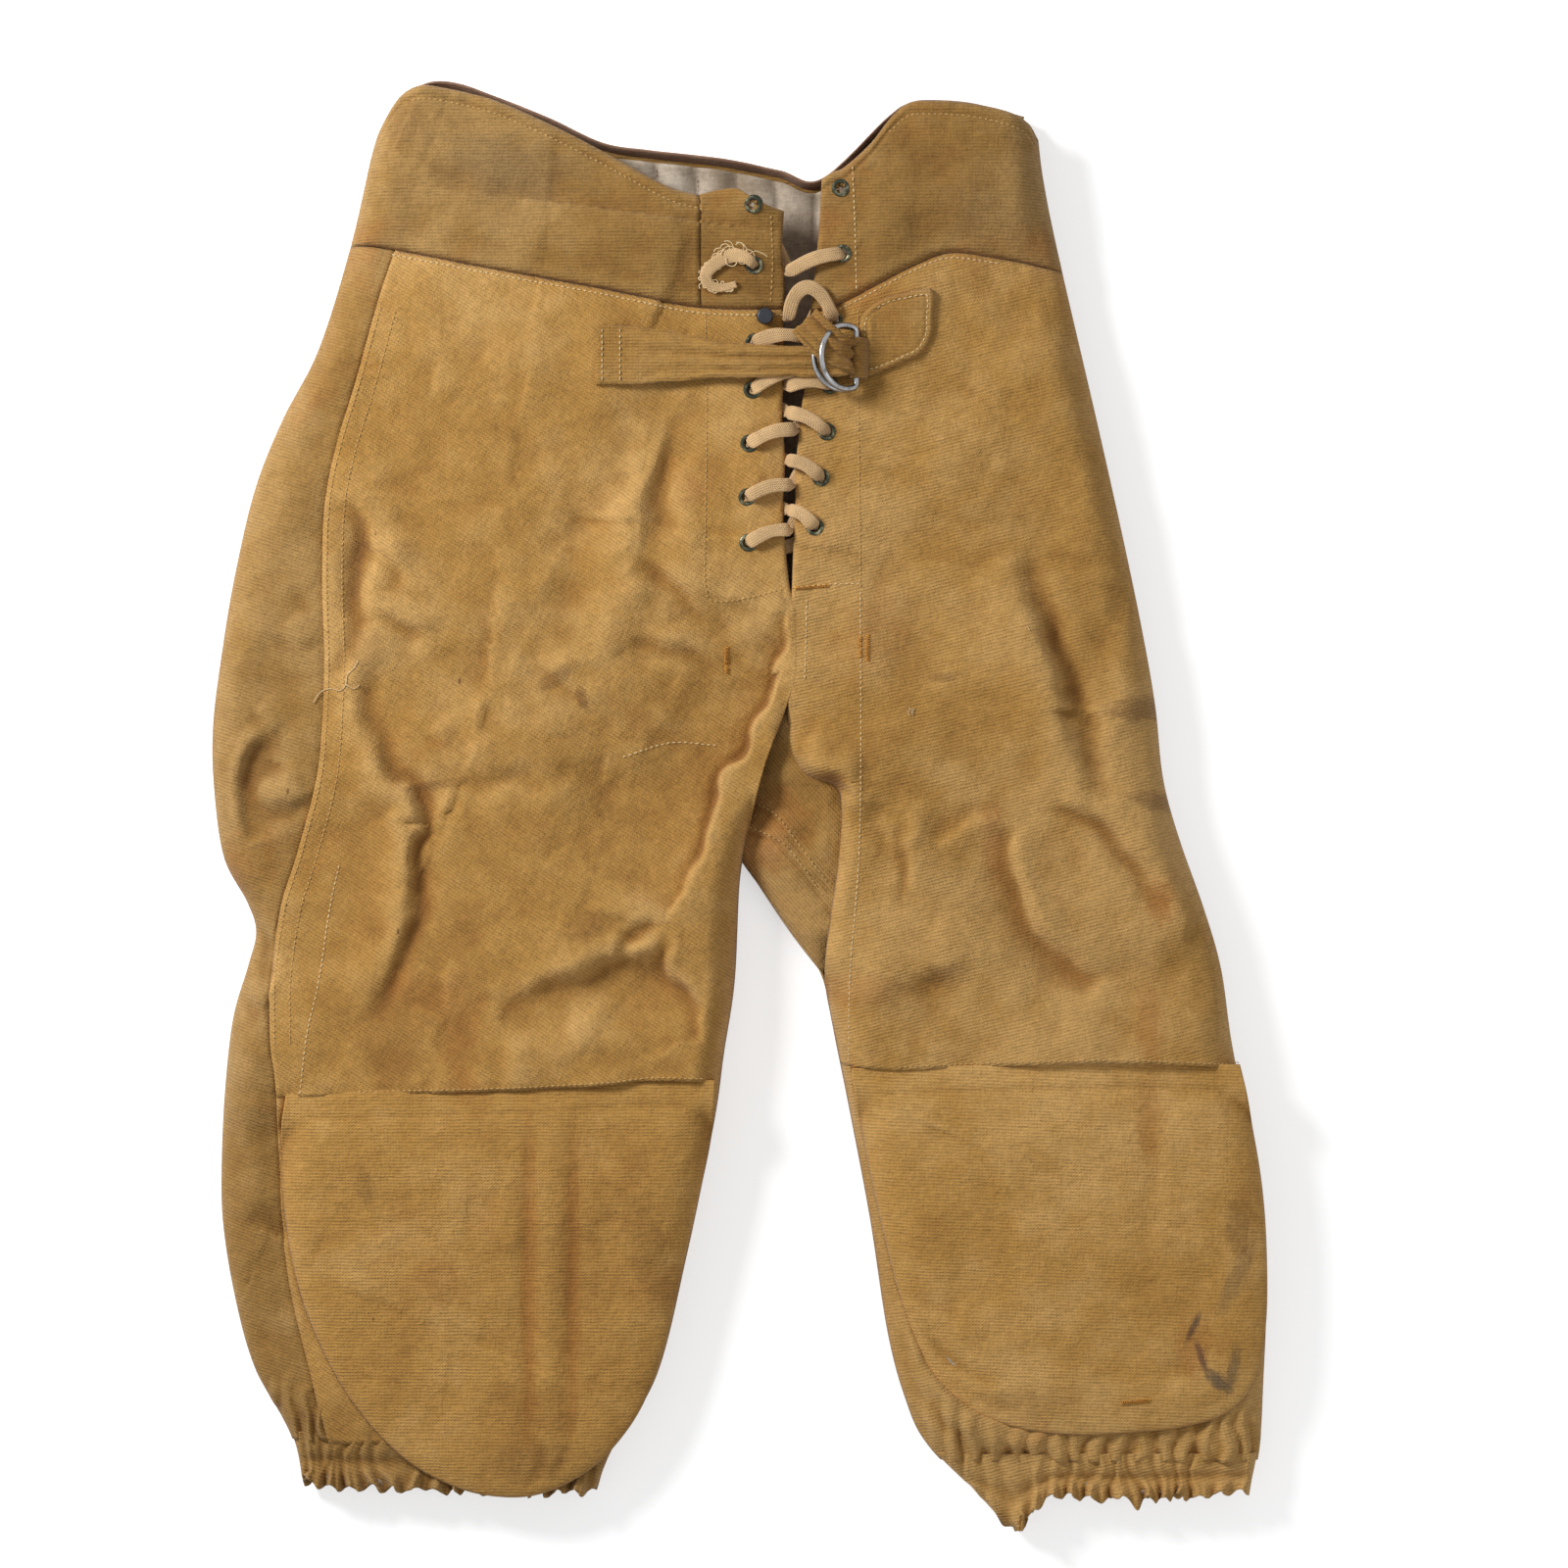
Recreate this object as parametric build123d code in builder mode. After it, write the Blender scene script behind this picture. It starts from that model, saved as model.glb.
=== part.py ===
"""Laced canvas sports breeches, lying flat with the front up. Millimetres.

X runs across the garment, +X to the wearer's left. Y runs up it, +Y to the waist. Z is up from the
surface that it lies on. The back panels touch z = 0.
"""

import os
from math import asin, cos, degrees, pi, radians, sin, tan

from build123d import *

# ---- cloth -------------------------------------------------------------------------------------
CANVAS = 1.2          # cotton duck
LINING = 0.9          # lining cloth
GAP = 0.3             # air between two layers of cloth
FELT = 5.0            # hip pads
BATTING = 4.0         # quilted channels of the seat lining
KNEE_FELT = 8.0       # knee pads

# ---- tubes of the body and of each leg ---------------------------------------------------------
BODY_H = 32.0         # height of the body and thighs
KNEE_H = 22.0         # height of the leg under the knee pocket
CUFF_H = 20.0         # height of the leg end
SIDE_SEAM_Z = 11.0    # height of the line where front and back meet
CROTCH_Y = -18.0
# y, left edge, right edge
BODY_STATIONS = [
    (CROTCH_Y, -264, 224),
    (42, -268.5, 214),
    (120, -256, 199),
    (197, -232.5, 182.5),
    (283, -197.5, 160),
    (332, -185, 152),
    (374, -172, 146),
]
LEG_ROOT = CROTCH_Y + 4
# y, left edge, right edge, height
RIGHT_LEG_STATIONS = [
    (LEG_ROOT, -264, 2, BODY_H),
    (-63, -249, -1, 30),
    (-118, -258, -6, KNEE_H),
    (-208, -263, -22, KNEE_H),
    (-278, -250, -38, KNEE_H),
    (-318, -228, -66, CUFF_H),
]
LEFT_LEG_STATIONS = [
    (LEG_ROOT, 9, 223, BODY_H),
    (-63, 27, 238, 30),
    (-118, 48, 250, KNEE_H),
    (-208, 66, 266.5, KNEE_H),
    (-278, 78, 267, KNEE_H),
    (-340, 108, 262, CUFF_H),
]

# ---- seams and edges ---------------------------------------------------------------------------
BACK_SEAM_Y = 281.0
WAIST_SEAM_RIGHT = [(-173.5, 281), (-127.5, 272), (-20, 252), (22, 252)]
WAIST_SEAM_LEFT = [(35.8, 250), (55, 256), (87.5, 273), (105, 279.5), (160, 272)]
WAIST_TOP_RIGHT = [(-186, 336), (-173, 360), (-157, 368), (-127, 362), (-97, 347), (-70, 336), (-20, 314)]
WAIST_TOP_LEFT = [(41.5, 321), (56.5, 329.5), (75, 347), (90, 357), (142.5, 349.5), (152, 338)]
BACK_TOP = [(-186, 335), (-172, 357), (-150, 362), (-100, 346), (-70, 337), (41.5, 319.5), (110, 340),
            (146, 343), (152, 337)]
FLY_EDGE_RIGHT = [(22, 311), (22, 252), (22, 200), (22.5, 112)]
FLY_EDGE_LEFT = [(41.5, 321), (35.8, 250), (32.5, 212), (28.5, 172), (27, 112)]
CENTRE_SEAM = [(25, 110), (25.5, 82), (11.5, 42), (5, CROTCH_Y), (20, -80), (30, -400)]
OUTSEAM = [(-173.5, 281), (-191, 220), (-205, 177), (-210, 112), (-215, 12), (-235, -58), (-236, -118),
           (-232, -330)]
TAB_SEAM_X = -20.0

# ---- fly facings, eyelets and snap -------------------------------------------------------------
FACING_FOOT = 106.0
FACING_EDGE_RIGHT = -17.0
FACING_EDGE_LEFT = 60.0
EYELETS_RIGHT = [(7, 303), (7.5, 273), (7.5, 234.5), (6.5, 210.5), (5, 183.5), (4, 156.5), (4.5, 133.5)]
EYELETS_LEFT = [(51, 312), (52, 279), (47.5, 246), (45.5, 213), (44, 189.5), (41, 166.5), (38, 141.5)]
EYELET_BORE = 2.6
EYELET_WALL = 0.4
EYELET_FLANGE = 4.4
FLANGE_T = 0.7
SNAP_AT = (13, 247.5)
SNAP_R = 4.2
SNAP_POST_R = 1.3

# ---- lace --------------------------------------------------------------------------------------
LACE_R = 1.4          # radius of the gathered flat lace
LACE_LIFT = 3.2       # centre of the lace from the cloth, above it and below it
TAIL_START = 1.0      # the frayed tail starts this far over the cloth, in its eyelet
TAIL_RUN = [(7.5, 273, 36.8), (3, 277, 38), (-4.5, 278, 36.4), (-12, 274, 35.4), (-17.5, 268.5, 34.8),
            (-15.5, 262.5, 34.4), (-8, 261, 34.2), (-1.5, 263.5, 34.2)]
CORNER_SHARE = 0.45   # an arc takes this share of the shorter run beside it

# ---- strap, tab and rings ----------------------------------------------------------------------
STRAP_T = 2.2
STRAP_OUTLINE = [(-71.5, 213), (-71.5, 243), (-30, 239), (4, 232), (60, 232), (60, 217), (-10, 217)]
STRAP_END_X = -71.5
STRAP_RISE = (-18, -4)     # the strap climbs onto the lacing between these
STRAP_OVER_LACE = 5.6      # underside of the strap above the cloth where it crosses the lace
STRAP_FOLD_X = 49.5
STRAP_FOLD_R = 4.5         # middle of the cloth at the fold
STRAP_TIP_X = 27.0
RING_WIRE = 3.0
RING_Y = 226.0
RING_HALF = 14.5
RING_LENGTH = 22.6
RING_CORNER = 3.0
RING_OVER_STRAP = 19.6      # from the bar to the bow where it lies over the strap's edge
RING_REST = 0.4            # air between a ring and the strap that it lies on
BAR_X = 58.8
BAR_FIT = 0.1
BAR_SPACING = RING_WIRE + 0.3
LOOP_HALF = 10.5
TAB_OUTLINE = [(61, 247), (72.5, 257), (97.5, 262), (97.5, 239.5), (92.5, 229.5), (72.5, 219.5), (61, 216)]

# ---- knee pockets ------------------------------------------------------------------------------
POCKET_LIFT = 0.8
POCKET_H = 11.2
POCKET_ROUND = 3.0
SEAM_CORNER_R = 4.0
KNEE_SEAM_RIGHT = [(-221, -145), (-12, -142)]
KNEE_RIM_RIGHT = [(-232, -185), (-227, -230), (-202, -292), (-166, -331), (-104, -349), (-66, -326),
                  (-38, -272), (-20, -195)]
KNEE_SEAM_LEFT = [(62, -126), (249, -121)]
KNEE_RIM_LEFT = [(64, -190), (75, -262), (97, -303), (142, -319), (195, -316), (244, -306), (264, -270),
                 (262, -180)]

# ---- cuffs -------------------------------------------------------------------------------------
CUFF_LENGTH = 27.0
HEM_FOLD = 2.0
ELASTIC = 1.6

SHEET_Z = BODY_H - CANVAS           # underside of the front sheet
EYELET_HOLE = EYELET_BORE + EYELET_WALL + GAP
SNAP_HOLE = SNAP_POST_R + GAP
FACING_Z = SHEET_Z - GAP - CANVAS   # underside of the fly facings
HOLE_FOOT = BODY_H / 2              # holes are punched from here up
TALL = 200.0                        # taller than anything that it cuts

os.makedirs("parts", exist_ok=True)


def save(piece, name):
    """Label a finished sub-part and write it."""
    piece.part.label = name
    export_step(piece.part, f"parts/{name}.step")


def tube(stations, wall=0.0):
    """Solid tube lying on z = 0 through its stations, taken in by the wall all round.

    Straight between stations where its height changes, so that it never dips under z = 0.
    """
    heights = {station[-1] for station in stations}
    with BuildPart() as body:
        for y, left, right, height in stations:
            with BuildSketch(Plane.XZ.offset(-y)):
                with Locations(((left + right) / 2, height / 2)):
                    SlotOverall(right - left - 2 * wall, height - 2 * wall)
        loft(ruled=len(heights) > 1)
    return body.part


def arc_radii(points):
    """The largest arc that the two runs beside each inner point leave room for."""
    vectors = [Vector(*point) for point in points]
    radii = []
    for before, corner, after in zip(vectors, vectors[1:], vectors[2:]):
        first = corner - before
        second = after - corner
        half_turn = radians(first.get_angle(second) / 2)
        radii.append(CORNER_SHARE * min(first.length, second.length) / tan(half_turn))
    return radii


def prism(points, bottom, height):
    """Upright block over a closed outline."""
    with BuildPart() as block:
        with BuildSketch(Plane.XY.offset(bottom)):
            with BuildLine():
                Polyline(*points, close=True)
            make_face()
        extrude(amount=height)
    return block.part


def cut_from(sheet, outline, bottom, height, holes=(), more=None):
    """The share of a sheet that stands over an outline, between two heights, with its round holes.

    Holes are (points, radius) pairs. More is a second share that the piece is in one with.
    """
    with BuildPart() as piece:
        add(sheet)
        add(prism(outline, bottom, height), mode=Mode.INTERSECT)
        if more:
            add(more.part)
        for points, radius in holes:
            with BuildSketch(Plane.XY.offset(HOLE_FOOT)):
                with Locations(*points):
                    Circle(radius)
            extrude(amount=TALL, mode=Mode.SUBTRACT)
    return piece


def layer(points, bottom, thickness, margin=0.0, holes=()):
    """Flat layer of cloth or felt over a closed outline, with a margin round it and round holes."""
    with BuildPart() as piece:
        with BuildSketch(Plane.XY.offset(bottom)):
            with BuildLine():
                Polyline(*points, close=True)
            make_face()
            if margin:
                offset(amount=margin)
            for at, radius in holes:
                with Locations(*at):
                    Circle(radius, mode=Mode.SUBTRACT)
        extrude(amount=thickness)
    return piece


# ==== the cloth shell: one body tube and two leg tubes, hollow and open at the ends ===============
BODY_TUBE = [(y, left, right, BODY_H) for y, left, right in BODY_STATIONS]
TUBES = (BODY_TUBE, RIGHT_LEG_STATIONS, LEFT_LEG_STATIONS)


def hollow(outer_wall, inner_wall):
    """The three tubes joined, between two depths below their surface."""
    with BuildPart() as skin:
        for stations in TUBES:
            add(tube(stations, outer_wall))
        for stations in TUBES:
            add(tube(stations, inner_wall), mode=Mode.SUBTRACT)
    return skin.part


canvas_shell = hollow(0, CANVAS)
POCKET_DEPTH = CANVAS + GAP
inner_shell = hollow(POCKET_DEPTH, POCKET_DEPTH + LINING)

# ==== front and back panels =====================================================================
FAR = 400
HEM_Y = -FAR
FRONT_RIGHT = WAIST_SEAM_RIGHT + FLY_EDGE_RIGHT[2:] + CENTRE_SEAM + [(OUTSEAM[-1][0], HEM_Y)] + OUTSEAM[:0:-1]
FRONT_LEFT = FLY_EDGE_LEFT[1:] + CENTRE_SEAM + [(FAR, HEM_Y), (FAR, WAIST_SEAM_LEFT[-1][1])] + WAIST_SEAM_LEFT[:0:-1]
BACK_TOP_CENTRE = (CENTRE_SEAM[0][0], BACK_SEAM_Y)
BACK_RIGHT = [(-FAR, BACK_SEAM_Y), BACK_TOP_CENTRE] + CENTRE_SEAM + [(-FAR, HEM_Y)]
BACK_LEFT = [(FAR, BACK_SEAM_Y), BACK_TOP_CENTRE] + CENTRE_SEAM + [(FAR, HEM_Y)]
SIDE_WRAP = [(-FAR, BACK_SEAM_Y)] + OUTSEAM + [(OUTSEAM[-1][0], HEM_Y), (-FAR, HEM_Y)]

LACE_HOLES_RIGHT = (EYELETS_RIGHT, EYELET_HOLE)
LACE_HOLES_LEFT = (EYELETS_LEFT, EYELET_HOLE)
STUD_HOLE = ([SNAP_AT], SNAP_HOLE)

front_leg_right = cut_from(
    canvas_shell, FRONT_RIGHT, SIDE_SEAM_Z, TALL, holes=[LACE_HOLES_RIGHT, STUD_HOLE]
)
save(front_leg_right, "front_leg_right")

front_leg_left = cut_from(canvas_shell, FRONT_LEFT, SIDE_SEAM_Z, TALL, holes=[LACE_HOLES_LEFT])
save(front_leg_left, "front_leg_left")

side_wrap = cut_from(canvas_shell, SIDE_WRAP, SIDE_SEAM_Z, TALL)
back_leg_right = cut_from(canvas_shell, BACK_RIGHT, 0, SIDE_SEAM_Z, more=side_wrap)
save(back_leg_right, "back_leg_right")

back_leg_left = cut_from(canvas_shell, BACK_LEFT, 0, SIDE_SEAM_Z)
save(back_leg_left, "back_leg_left")

# ---- gusset: closes the hole between the two thighs at the crotch ------------------------------
GUSSET_X = (-16, 28)
GUSSET_AIR = 0.5
with BuildPart() as crotch_gusset:
    with BuildSketch(Plane.XZ.offset(-CROTCH_Y + GAP)):
        with Locations(((GUSSET_X[0] + GUSSET_X[1]) / 2, BODY_H / 2)):
            Rectangle(GUSSET_X[1] - GUSSET_X[0], BODY_H)
        for stations in (RIGHT_LEG_STATIONS, LEFT_LEG_STATIONS):
            root_y, root_left, root_right, root_h = stations[0]
            with Locations(((root_left + root_right) / 2, root_h / 2)):
                SlotOverall(root_right - root_left + 2 * GUSSET_AIR, root_h + 2 * GUSSET_AIR, mode=Mode.SUBTRACT)
    extrude(amount=CANVAS)
save(crotch_gusset, "crotch_gusset")

# ==== high waist: two front panels, the fly tab, the back ========================================
WAIST_RIGHT = [(-FAR, BACK_SEAM_Y)] + WAIST_SEAM_RIGHT[:3] + WAIST_TOP_RIGHT[::-1] + [(-FAR, WAIST_TOP_RIGHT[0][1])]
waist_front_right = cut_from(canvas_shell, WAIST_RIGHT, SIDE_SEAM_Z, TALL)
save(waist_front_right, "waist_front_right")

FLY_TAB = [WAIST_SEAM_RIGHT[2], WAIST_SEAM_RIGHT[3], FLY_EDGE_RIGHT[0], WAIST_TOP_RIGHT[-1]]
fly_tab = cut_from(canvas_shell, FLY_TAB, SIDE_SEAM_Z, TALL, holes=[LACE_HOLES_RIGHT, STUD_HOLE])
save(fly_tab, "fly_tab")

WAIST_LEFT = (
    WAIST_SEAM_LEFT
    + [(FAR, WAIST_SEAM_LEFT[-1][1]), (FAR, WAIST_TOP_LEFT[-1][1])]
    + WAIST_TOP_LEFT[::-1]
)
waist_front_left = cut_from(canvas_shell, WAIST_LEFT, SIDE_SEAM_Z, TALL, holes=[LACE_HOLES_LEFT])
save(waist_front_left, "waist_front_left")

WAIST_BACK = [(-FAR, BACK_SEAM_Y), (FAR, BACK_SEAM_Y), (FAR, BACK_TOP[-1][1])] + BACK_TOP[::-1] + [(-FAR, BACK_TOP[0][1])]
waist_back = cut_from(canvas_shell, WAIST_BACK, 0, SIDE_SEAM_Z)
save(waist_back, "waist_back")

# ---- seat lining, quilted over strips of batting, and the binding along the back's top edge -----
LINING_FOOT = 116.0
LINING_X = (-148, 128)
LINING_SHY = 9.0            # the lining stops this far under the back's top edge
CHANNEL = 23.0
CHANNEL_SEAM = 2.0
batting_z = CANVAS + GAP
lining_z = batting_z + BATTING + GAP
inner_top = [(x, y - LINING_SHY) for x, y in BACK_TOP if LINING_X[0] <= x <= LINING_X[1]]
left_top = (LINING_X[0], inner_top[0][1])
right_top = (LINING_X[1], inner_top[-1][1])
LINING_OUTLINE = [(LINING_X[0], LINING_FOOT), left_top] + inner_top + [right_top, (LINING_X[1], LINING_FOOT)]
seat_lining = layer(LINING_OUTLINE, lining_z, LINING)
save(seat_lining, "seat_lining")

with BuildPart() as seat_batting:
    with BuildSketch(Plane.XY.offset(batting_z)):
        with BuildLine():
            Polyline(*LINING_OUTLINE, close=True)
        make_face()
        channels = round((LINING_X[1] - LINING_X[0]) / CHANNEL)
        pitch = (LINING_X[1] - LINING_X[0]) / channels
        for number in range(channels + 1):
            with Locations((LINING_X[0] + number * pitch, 0)):
                Rectangle(CHANNEL_SEAM, 2 * FAR, mode=Mode.SUBTRACT)
    extrude(amount=BATTING)
save(seat_batting, "seat_batting")

BINDING_DROP = 2.6
BINDING_Z = (0.4, lining_z + LINING + GAP + CANVAS)
binding_points = [(x, y + GAP) for x, y in BACK_TOP[2:-2]]
BINDING_OUTLINE = binding_points + [(x, y + BINDING_DROP) for x, y in binding_points[::-1]]
back_binding = layer(BINDING_OUTLINE, BINDING_Z[0], BINDING_Z[1] - BINDING_Z[0])
save(back_binding, "back_binding")

# ---- hip pads and their lining, inside the front waist panels ----------------------------------
HIP_PAD_RIGHT = [(-163, 290), (-158, 330), (-149, 346), (-128, 348), (-96, 334), (-34, 308), (-34, 266),
                 (-125, 284)]
HIP_PAD_LEFT = [(68, 270), (86, 284), (105, 290), (134, 286), (132, 338), (94, 345), (82, 338), (68, 324)]
HIP_LINING_MARGIN = 4.0
hip_pad_z = SHEET_Z - GAP - FELT
hip_lining_z = hip_pad_z - GAP - LINING
for side, outline in (("right", HIP_PAD_RIGHT), ("left", HIP_PAD_LEFT)):
    save(layer(outline, hip_pad_z, FELT), f"hip_pad_{side}")
    save(layer(outline, hip_lining_z, LINING, HIP_LINING_MARGIN), f"hip_lining_{side}")

# ==== fly facings, eyelets and snap ==============================================================
FACING_TOP_RIGHT = 306.0
FACING_RIGHT = [(FACING_EDGE_RIGHT, FACING_FOOT), (22, FACING_FOOT), (22, 309), (FACING_EDGE_RIGHT, 311)]
FACING_LEFT = [(27, FACING_FOOT)] + FLY_EDGE_LEFT[:0:-1] + [(41, 319), (FACING_EDGE_LEFT, 329), (FACING_EDGE_LEFT, FACING_FOOT)]
fly_facing_right = layer(FACING_RIGHT, FACING_Z, CANVAS, holes=[LACE_HOLES_RIGHT, STUD_HOLE])
save(fly_facing_right, "fly_facing_right")
fly_facing_left = layer(FACING_LEFT, FACING_Z, CANVAS, holes=[LACE_HOLES_LEFT])
save(fly_facing_left, "fly_facing_left")

METAL_AIR = 0.1
eyelet_top_z = BODY_H + METAL_AIR
eyelet_foot_z = FACING_Z - METAL_AIR - FLANGE_T
for side, points in (("right", EYELETS_RIGHT), ("left", EYELETS_LEFT)):
    with BuildPart() as eyelets:
        for bottom, height, radius in (
            (eyelet_top_z, FLANGE_T, EYELET_FLANGE),
            (eyelet_foot_z, FLANGE_T, EYELET_FLANGE),
            (eyelet_foot_z, eyelet_top_z + FLANGE_T - eyelet_foot_z, EYELET_BORE + EYELET_WALL),
        ):
            with BuildSketch(Plane.XY.offset(bottom)):
                with Locations(*points):
                    Circle(radius)
            extrude(amount=height)
        with BuildSketch(Plane.XY.offset(HOLE_FOOT)):
            with Locations(*points):
                Circle(EYELET_BORE)
        extrude(amount=TALL, mode=Mode.SUBTRACT)
    save(eyelets, f"eyelets_{side}")

SNAP_H = 2.4
SNAP_SOCKET_T = 1.8
SNAP_FIT = 0.05
snap_foot_z = FACING_Z - METAL_AIR - SNAP_SOCKET_T
with BuildPart() as snap_cap:
    with Locations((SNAP_AT[0], SNAP_AT[1], eyelet_top_z)):
        Cylinder(SNAP_R, SNAP_H, align=(Align.CENTER, Align.CENTER, Align.MIN))
    fillet(snap_cap.edges().group_by(Axis.Z)[-1], SNAP_H - CANVAS)
    with Locations((SNAP_AT[0], SNAP_AT[1], snap_foot_z)):
        Cylinder(SNAP_POST_R, eyelet_top_z - snap_foot_z, align=(Align.CENTER, Align.CENTER, Align.MIN))
save(snap_cap, "snap_cap")

with BuildPart() as snap_socket:
    with Locations((SNAP_AT[0], SNAP_AT[1], snap_foot_z)):
        Cylinder(SNAP_R, SNAP_SOCKET_T, align=(Align.CENTER, Align.CENTER, Align.MIN))
        Cylinder(
            SNAP_POST_R + SNAP_FIT, SNAP_SOCKET_T, align=(Align.CENTER, Align.CENTER, Align.MIN), mode=Mode.SUBTRACT
        )
save(snap_socket, "snap_socket")

# ==== lace =======================================================================================
OVER_Z = BODY_H + LACE_LIFT
UNDER_Z = FACING_Z - LACE_LIFT


def through(place, upward):
    """The lace passes through the sheet here: two points of its route, one under the other."""
    under = (*place, UNDER_Z)
    over = (*place, OVER_Z)
    return [under, over] if upward else [over, under]


def cord(points):
    """Tube of the lace's thickness along straight runs joined by tangent arcs."""
    radii = arc_radii(points)
    with BuildPart() as piece:
        with BuildLine() as route:
            FilletPolyline(*points, radius=radii)
        start = route.wire()
        with BuildSketch(Plane(origin=start @ 0, z_dir=start % 0)):
            Circle(LACE_R)
        sweep(path=route.wire())
    section = pi * LACE_R**2
    print(f"cord: length {start.length:.1f}, least radius {min(radii):.1f}, "
          f"volume over section x length {piece.part.volume / (section * start.length):.4f}")
    return piece


R, L = EYELETS_RIGHT, EYELETS_LEFT
LACE_ROUTE = (
    [(12, 293, UNDER_Z), (19, 284, UNDER_Z)]
    + through((24.6, 269.5), True) + through(L[1], False)
    + through((32.4, 237), True) + through(R[2], False)
    + through((24.3, 212), True) + through(L[3], False)
    + through((28.2, 190.5), True) + through(R[4], False)
    + through((24.3, 175), True) + through(L[5], False)
    + through((25.3, 140), True) + through(R[6], False)
    + [(16, 131, UNDER_Z), (28, 132, UNDER_Z)]
    + through(L[6], True) + through((24.8, 150), False)
    + through(R[5], True) + through((26.2, 162.5), False)
    + through(L[4], True) + through((24.3, 199), False)
    + through(R[3], True) + through((31.2, 220.5), False)
    + through(L[2], True)
    + [(42, 258, OVER_Z + 1), (34, 263, OVER_Z + 1.6), (27, 257, OVER_Z + 1.2)]
    + through((24.6, 246), False) + [(*R[1], UNDER_Z), (*R[1], BODY_H + TAIL_START)]
)
lace = cord(LACE_ROUTE)
save(lace, "lace")

TAIL_ROUTE = [(*R[1], BODY_H + TAIL_START)] + TAIL_RUN
lace_tail = cord(TAIL_ROUTE)
save(lace_tail, "lace_tail")

# ==== strap, tab and rings =======================================================================
strap_low_z = BODY_H + GAP + STRAP_T / 2
strap_high_z = BODY_H + STRAP_OVER_LACE + STRAP_T / 2
strap_return_z = strap_high_z + 2 * STRAP_FOLD_R
strap_side = Plane.XZ.offset(-STRAP_OUTLINE[0][1])
with BuildPart() as waist_strap:
    with BuildLine(strap_side) as strap_route:
        run_in = FilletPolyline(
            (STRAP_END_X, strap_low_z), (STRAP_RISE[0], strap_low_z), (STRAP_RISE[1], strap_high_z),
            (STRAP_FOLD_X, strap_high_z), radius=2 * STRAP_T,
        )
        fold = JernArc(start=run_in @ 1, tangent=run_in % 1, radius=STRAP_FOLD_R, arc_size=180)
        Line(fold @ 1, (STRAP_TIP_X, strap_return_z))
    start = strap_route.wire()
    with BuildSketch(Plane(origin=start @ 0, x_dir=(0, 1, 0), z_dir=start % 0)):
        Rectangle(4 * LOOP_HALF + 20, STRAP_T)
    sweep(path=strap_route.wire())
    add(prism(STRAP_OUTLINE, 0, TALL), mode=Mode.INTERSECT)
save(waist_strap, "waist_strap")

TAB_T = 2 * CANVAS
tab_z = BODY_H + GAP
lower_bar_z = tab_z + CANVAS + BAR_FIT + RING_WIRE / 2
upper_bar_z = lower_bar_z + BAR_SPACING
loop_hole = RING_WIRE + 2 * BAR_FIT
with BuildPart() as strap_tab:
    with BuildSketch(Plane.XZ.offset(-(RING_Y - LOOP_HALF))):
        with Locations((BAR_X, (lower_bar_z + upper_bar_z) / 2)):
            SlotOverall(BAR_SPACING + loop_hole + TAB_T, loop_hole + TAB_T, rotation=90)
        with Locations((BAR_X, tab_z)):
            Rectangle(TAB_OUTLINE[0][0] - BAR_X + 1, TAB_T, align=(Align.MIN, Align.MIN))
        with Locations((BAR_X, (lower_bar_z + upper_bar_z) / 2)):
            SlotOverall(BAR_SPACING + loop_hole, loop_hole, rotation=90, mode=Mode.SUBTRACT)
    extrude(amount=-2 * LOOP_HALF)
    with BuildSketch(Plane.XY.offset(tab_z)):
        with BuildLine():
            Polyline(*TAB_OUTLINE, close=True)
        make_face()
    extrude(amount=TAB_T)
save(strap_tab, "strap_tab")


def ring(bar_z, rest_z):
    """D-ring hinged on its bar, with the far side of its bow lying at a height."""
    tilt = asin((rest_z - bar_z) / RING_OVER_STRAP)
    flat = Plane(
        origin=(BAR_X, RING_Y, bar_z), x_dir=(-cos(tilt), 0, sin(tilt)), z_dir=(sin(tilt), 0, cos(tilt))
    )
    with BuildPart() as piece:
        with BuildSketch(flat, mode=Mode.PRIVATE) as bow:
            with BuildLine():
                Line((0, -RING_HALF), (0, RING_HALF))
                ThreePointArc((0, RING_HALF), (RING_LENGTH, 0), (0, -RING_HALF))
            make_face()
            fillet(bow.vertices(), RING_CORNER)
        track = bow.sketch.face().outer_wire()
        with BuildSketch(Plane(origin=track @ 0, z_dir=track % 0)):
            Circle(RING_WIRE / 2)
        sweep(path=track)
    print(f"ring: tilt {degrees(tilt):.1f}")
    return piece


lower_rest_z = strap_high_z + STRAP_T / 2 + RING_REST + RING_WIRE / 2
upper_rest_z = strap_return_z + STRAP_T / 2 + RING_REST + RING_WIRE / 2
save(ring(lower_bar_z, lower_rest_z), "ring_front")
save(ring(upper_bar_z, upper_rest_z), "ring_back")

# ==== thigh pockets, inside the front of each leg ================================================
THIGH_POCKET_RIGHT = [(-205, 28), (-30, 31), (-18, -132), (-218, -136)]
THIGH_POCKET_LEFT = [(62, 40), (196, 36), (232, -112), (60, -112)]
for side, outline in (("right", THIGH_POCKET_RIGHT), ("left", THIGH_POCKET_LEFT)):
    save(cut_from(inner_shell, outline, SIDE_SEAM_Z, TALL), f"thigh_pocket_{side}")

# ---- felled seam allowances inside the side seams and inside legs -------------------------------
FELL_W = 9.0
FELL_Z = 12.0
OUTSEAM_FLAT = OUTSEAM[:5]
outseam_fell = [(x - FELL_W / 2, y) for x, y in OUTSEAM_FLAT] + [(x + FELL_W / 2, y) for x, y in OUTSEAM_FLAT[::-1]]
save(cut_from(inner_shell, outseam_fell, BODY_H / 2, TALL), "outseam_fell_right")

# ==== knee pockets: a patch on the front of each leg, over a felt pad =============================
POCKET_FOOT = KNEE_H + POCKET_LIFT


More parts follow.
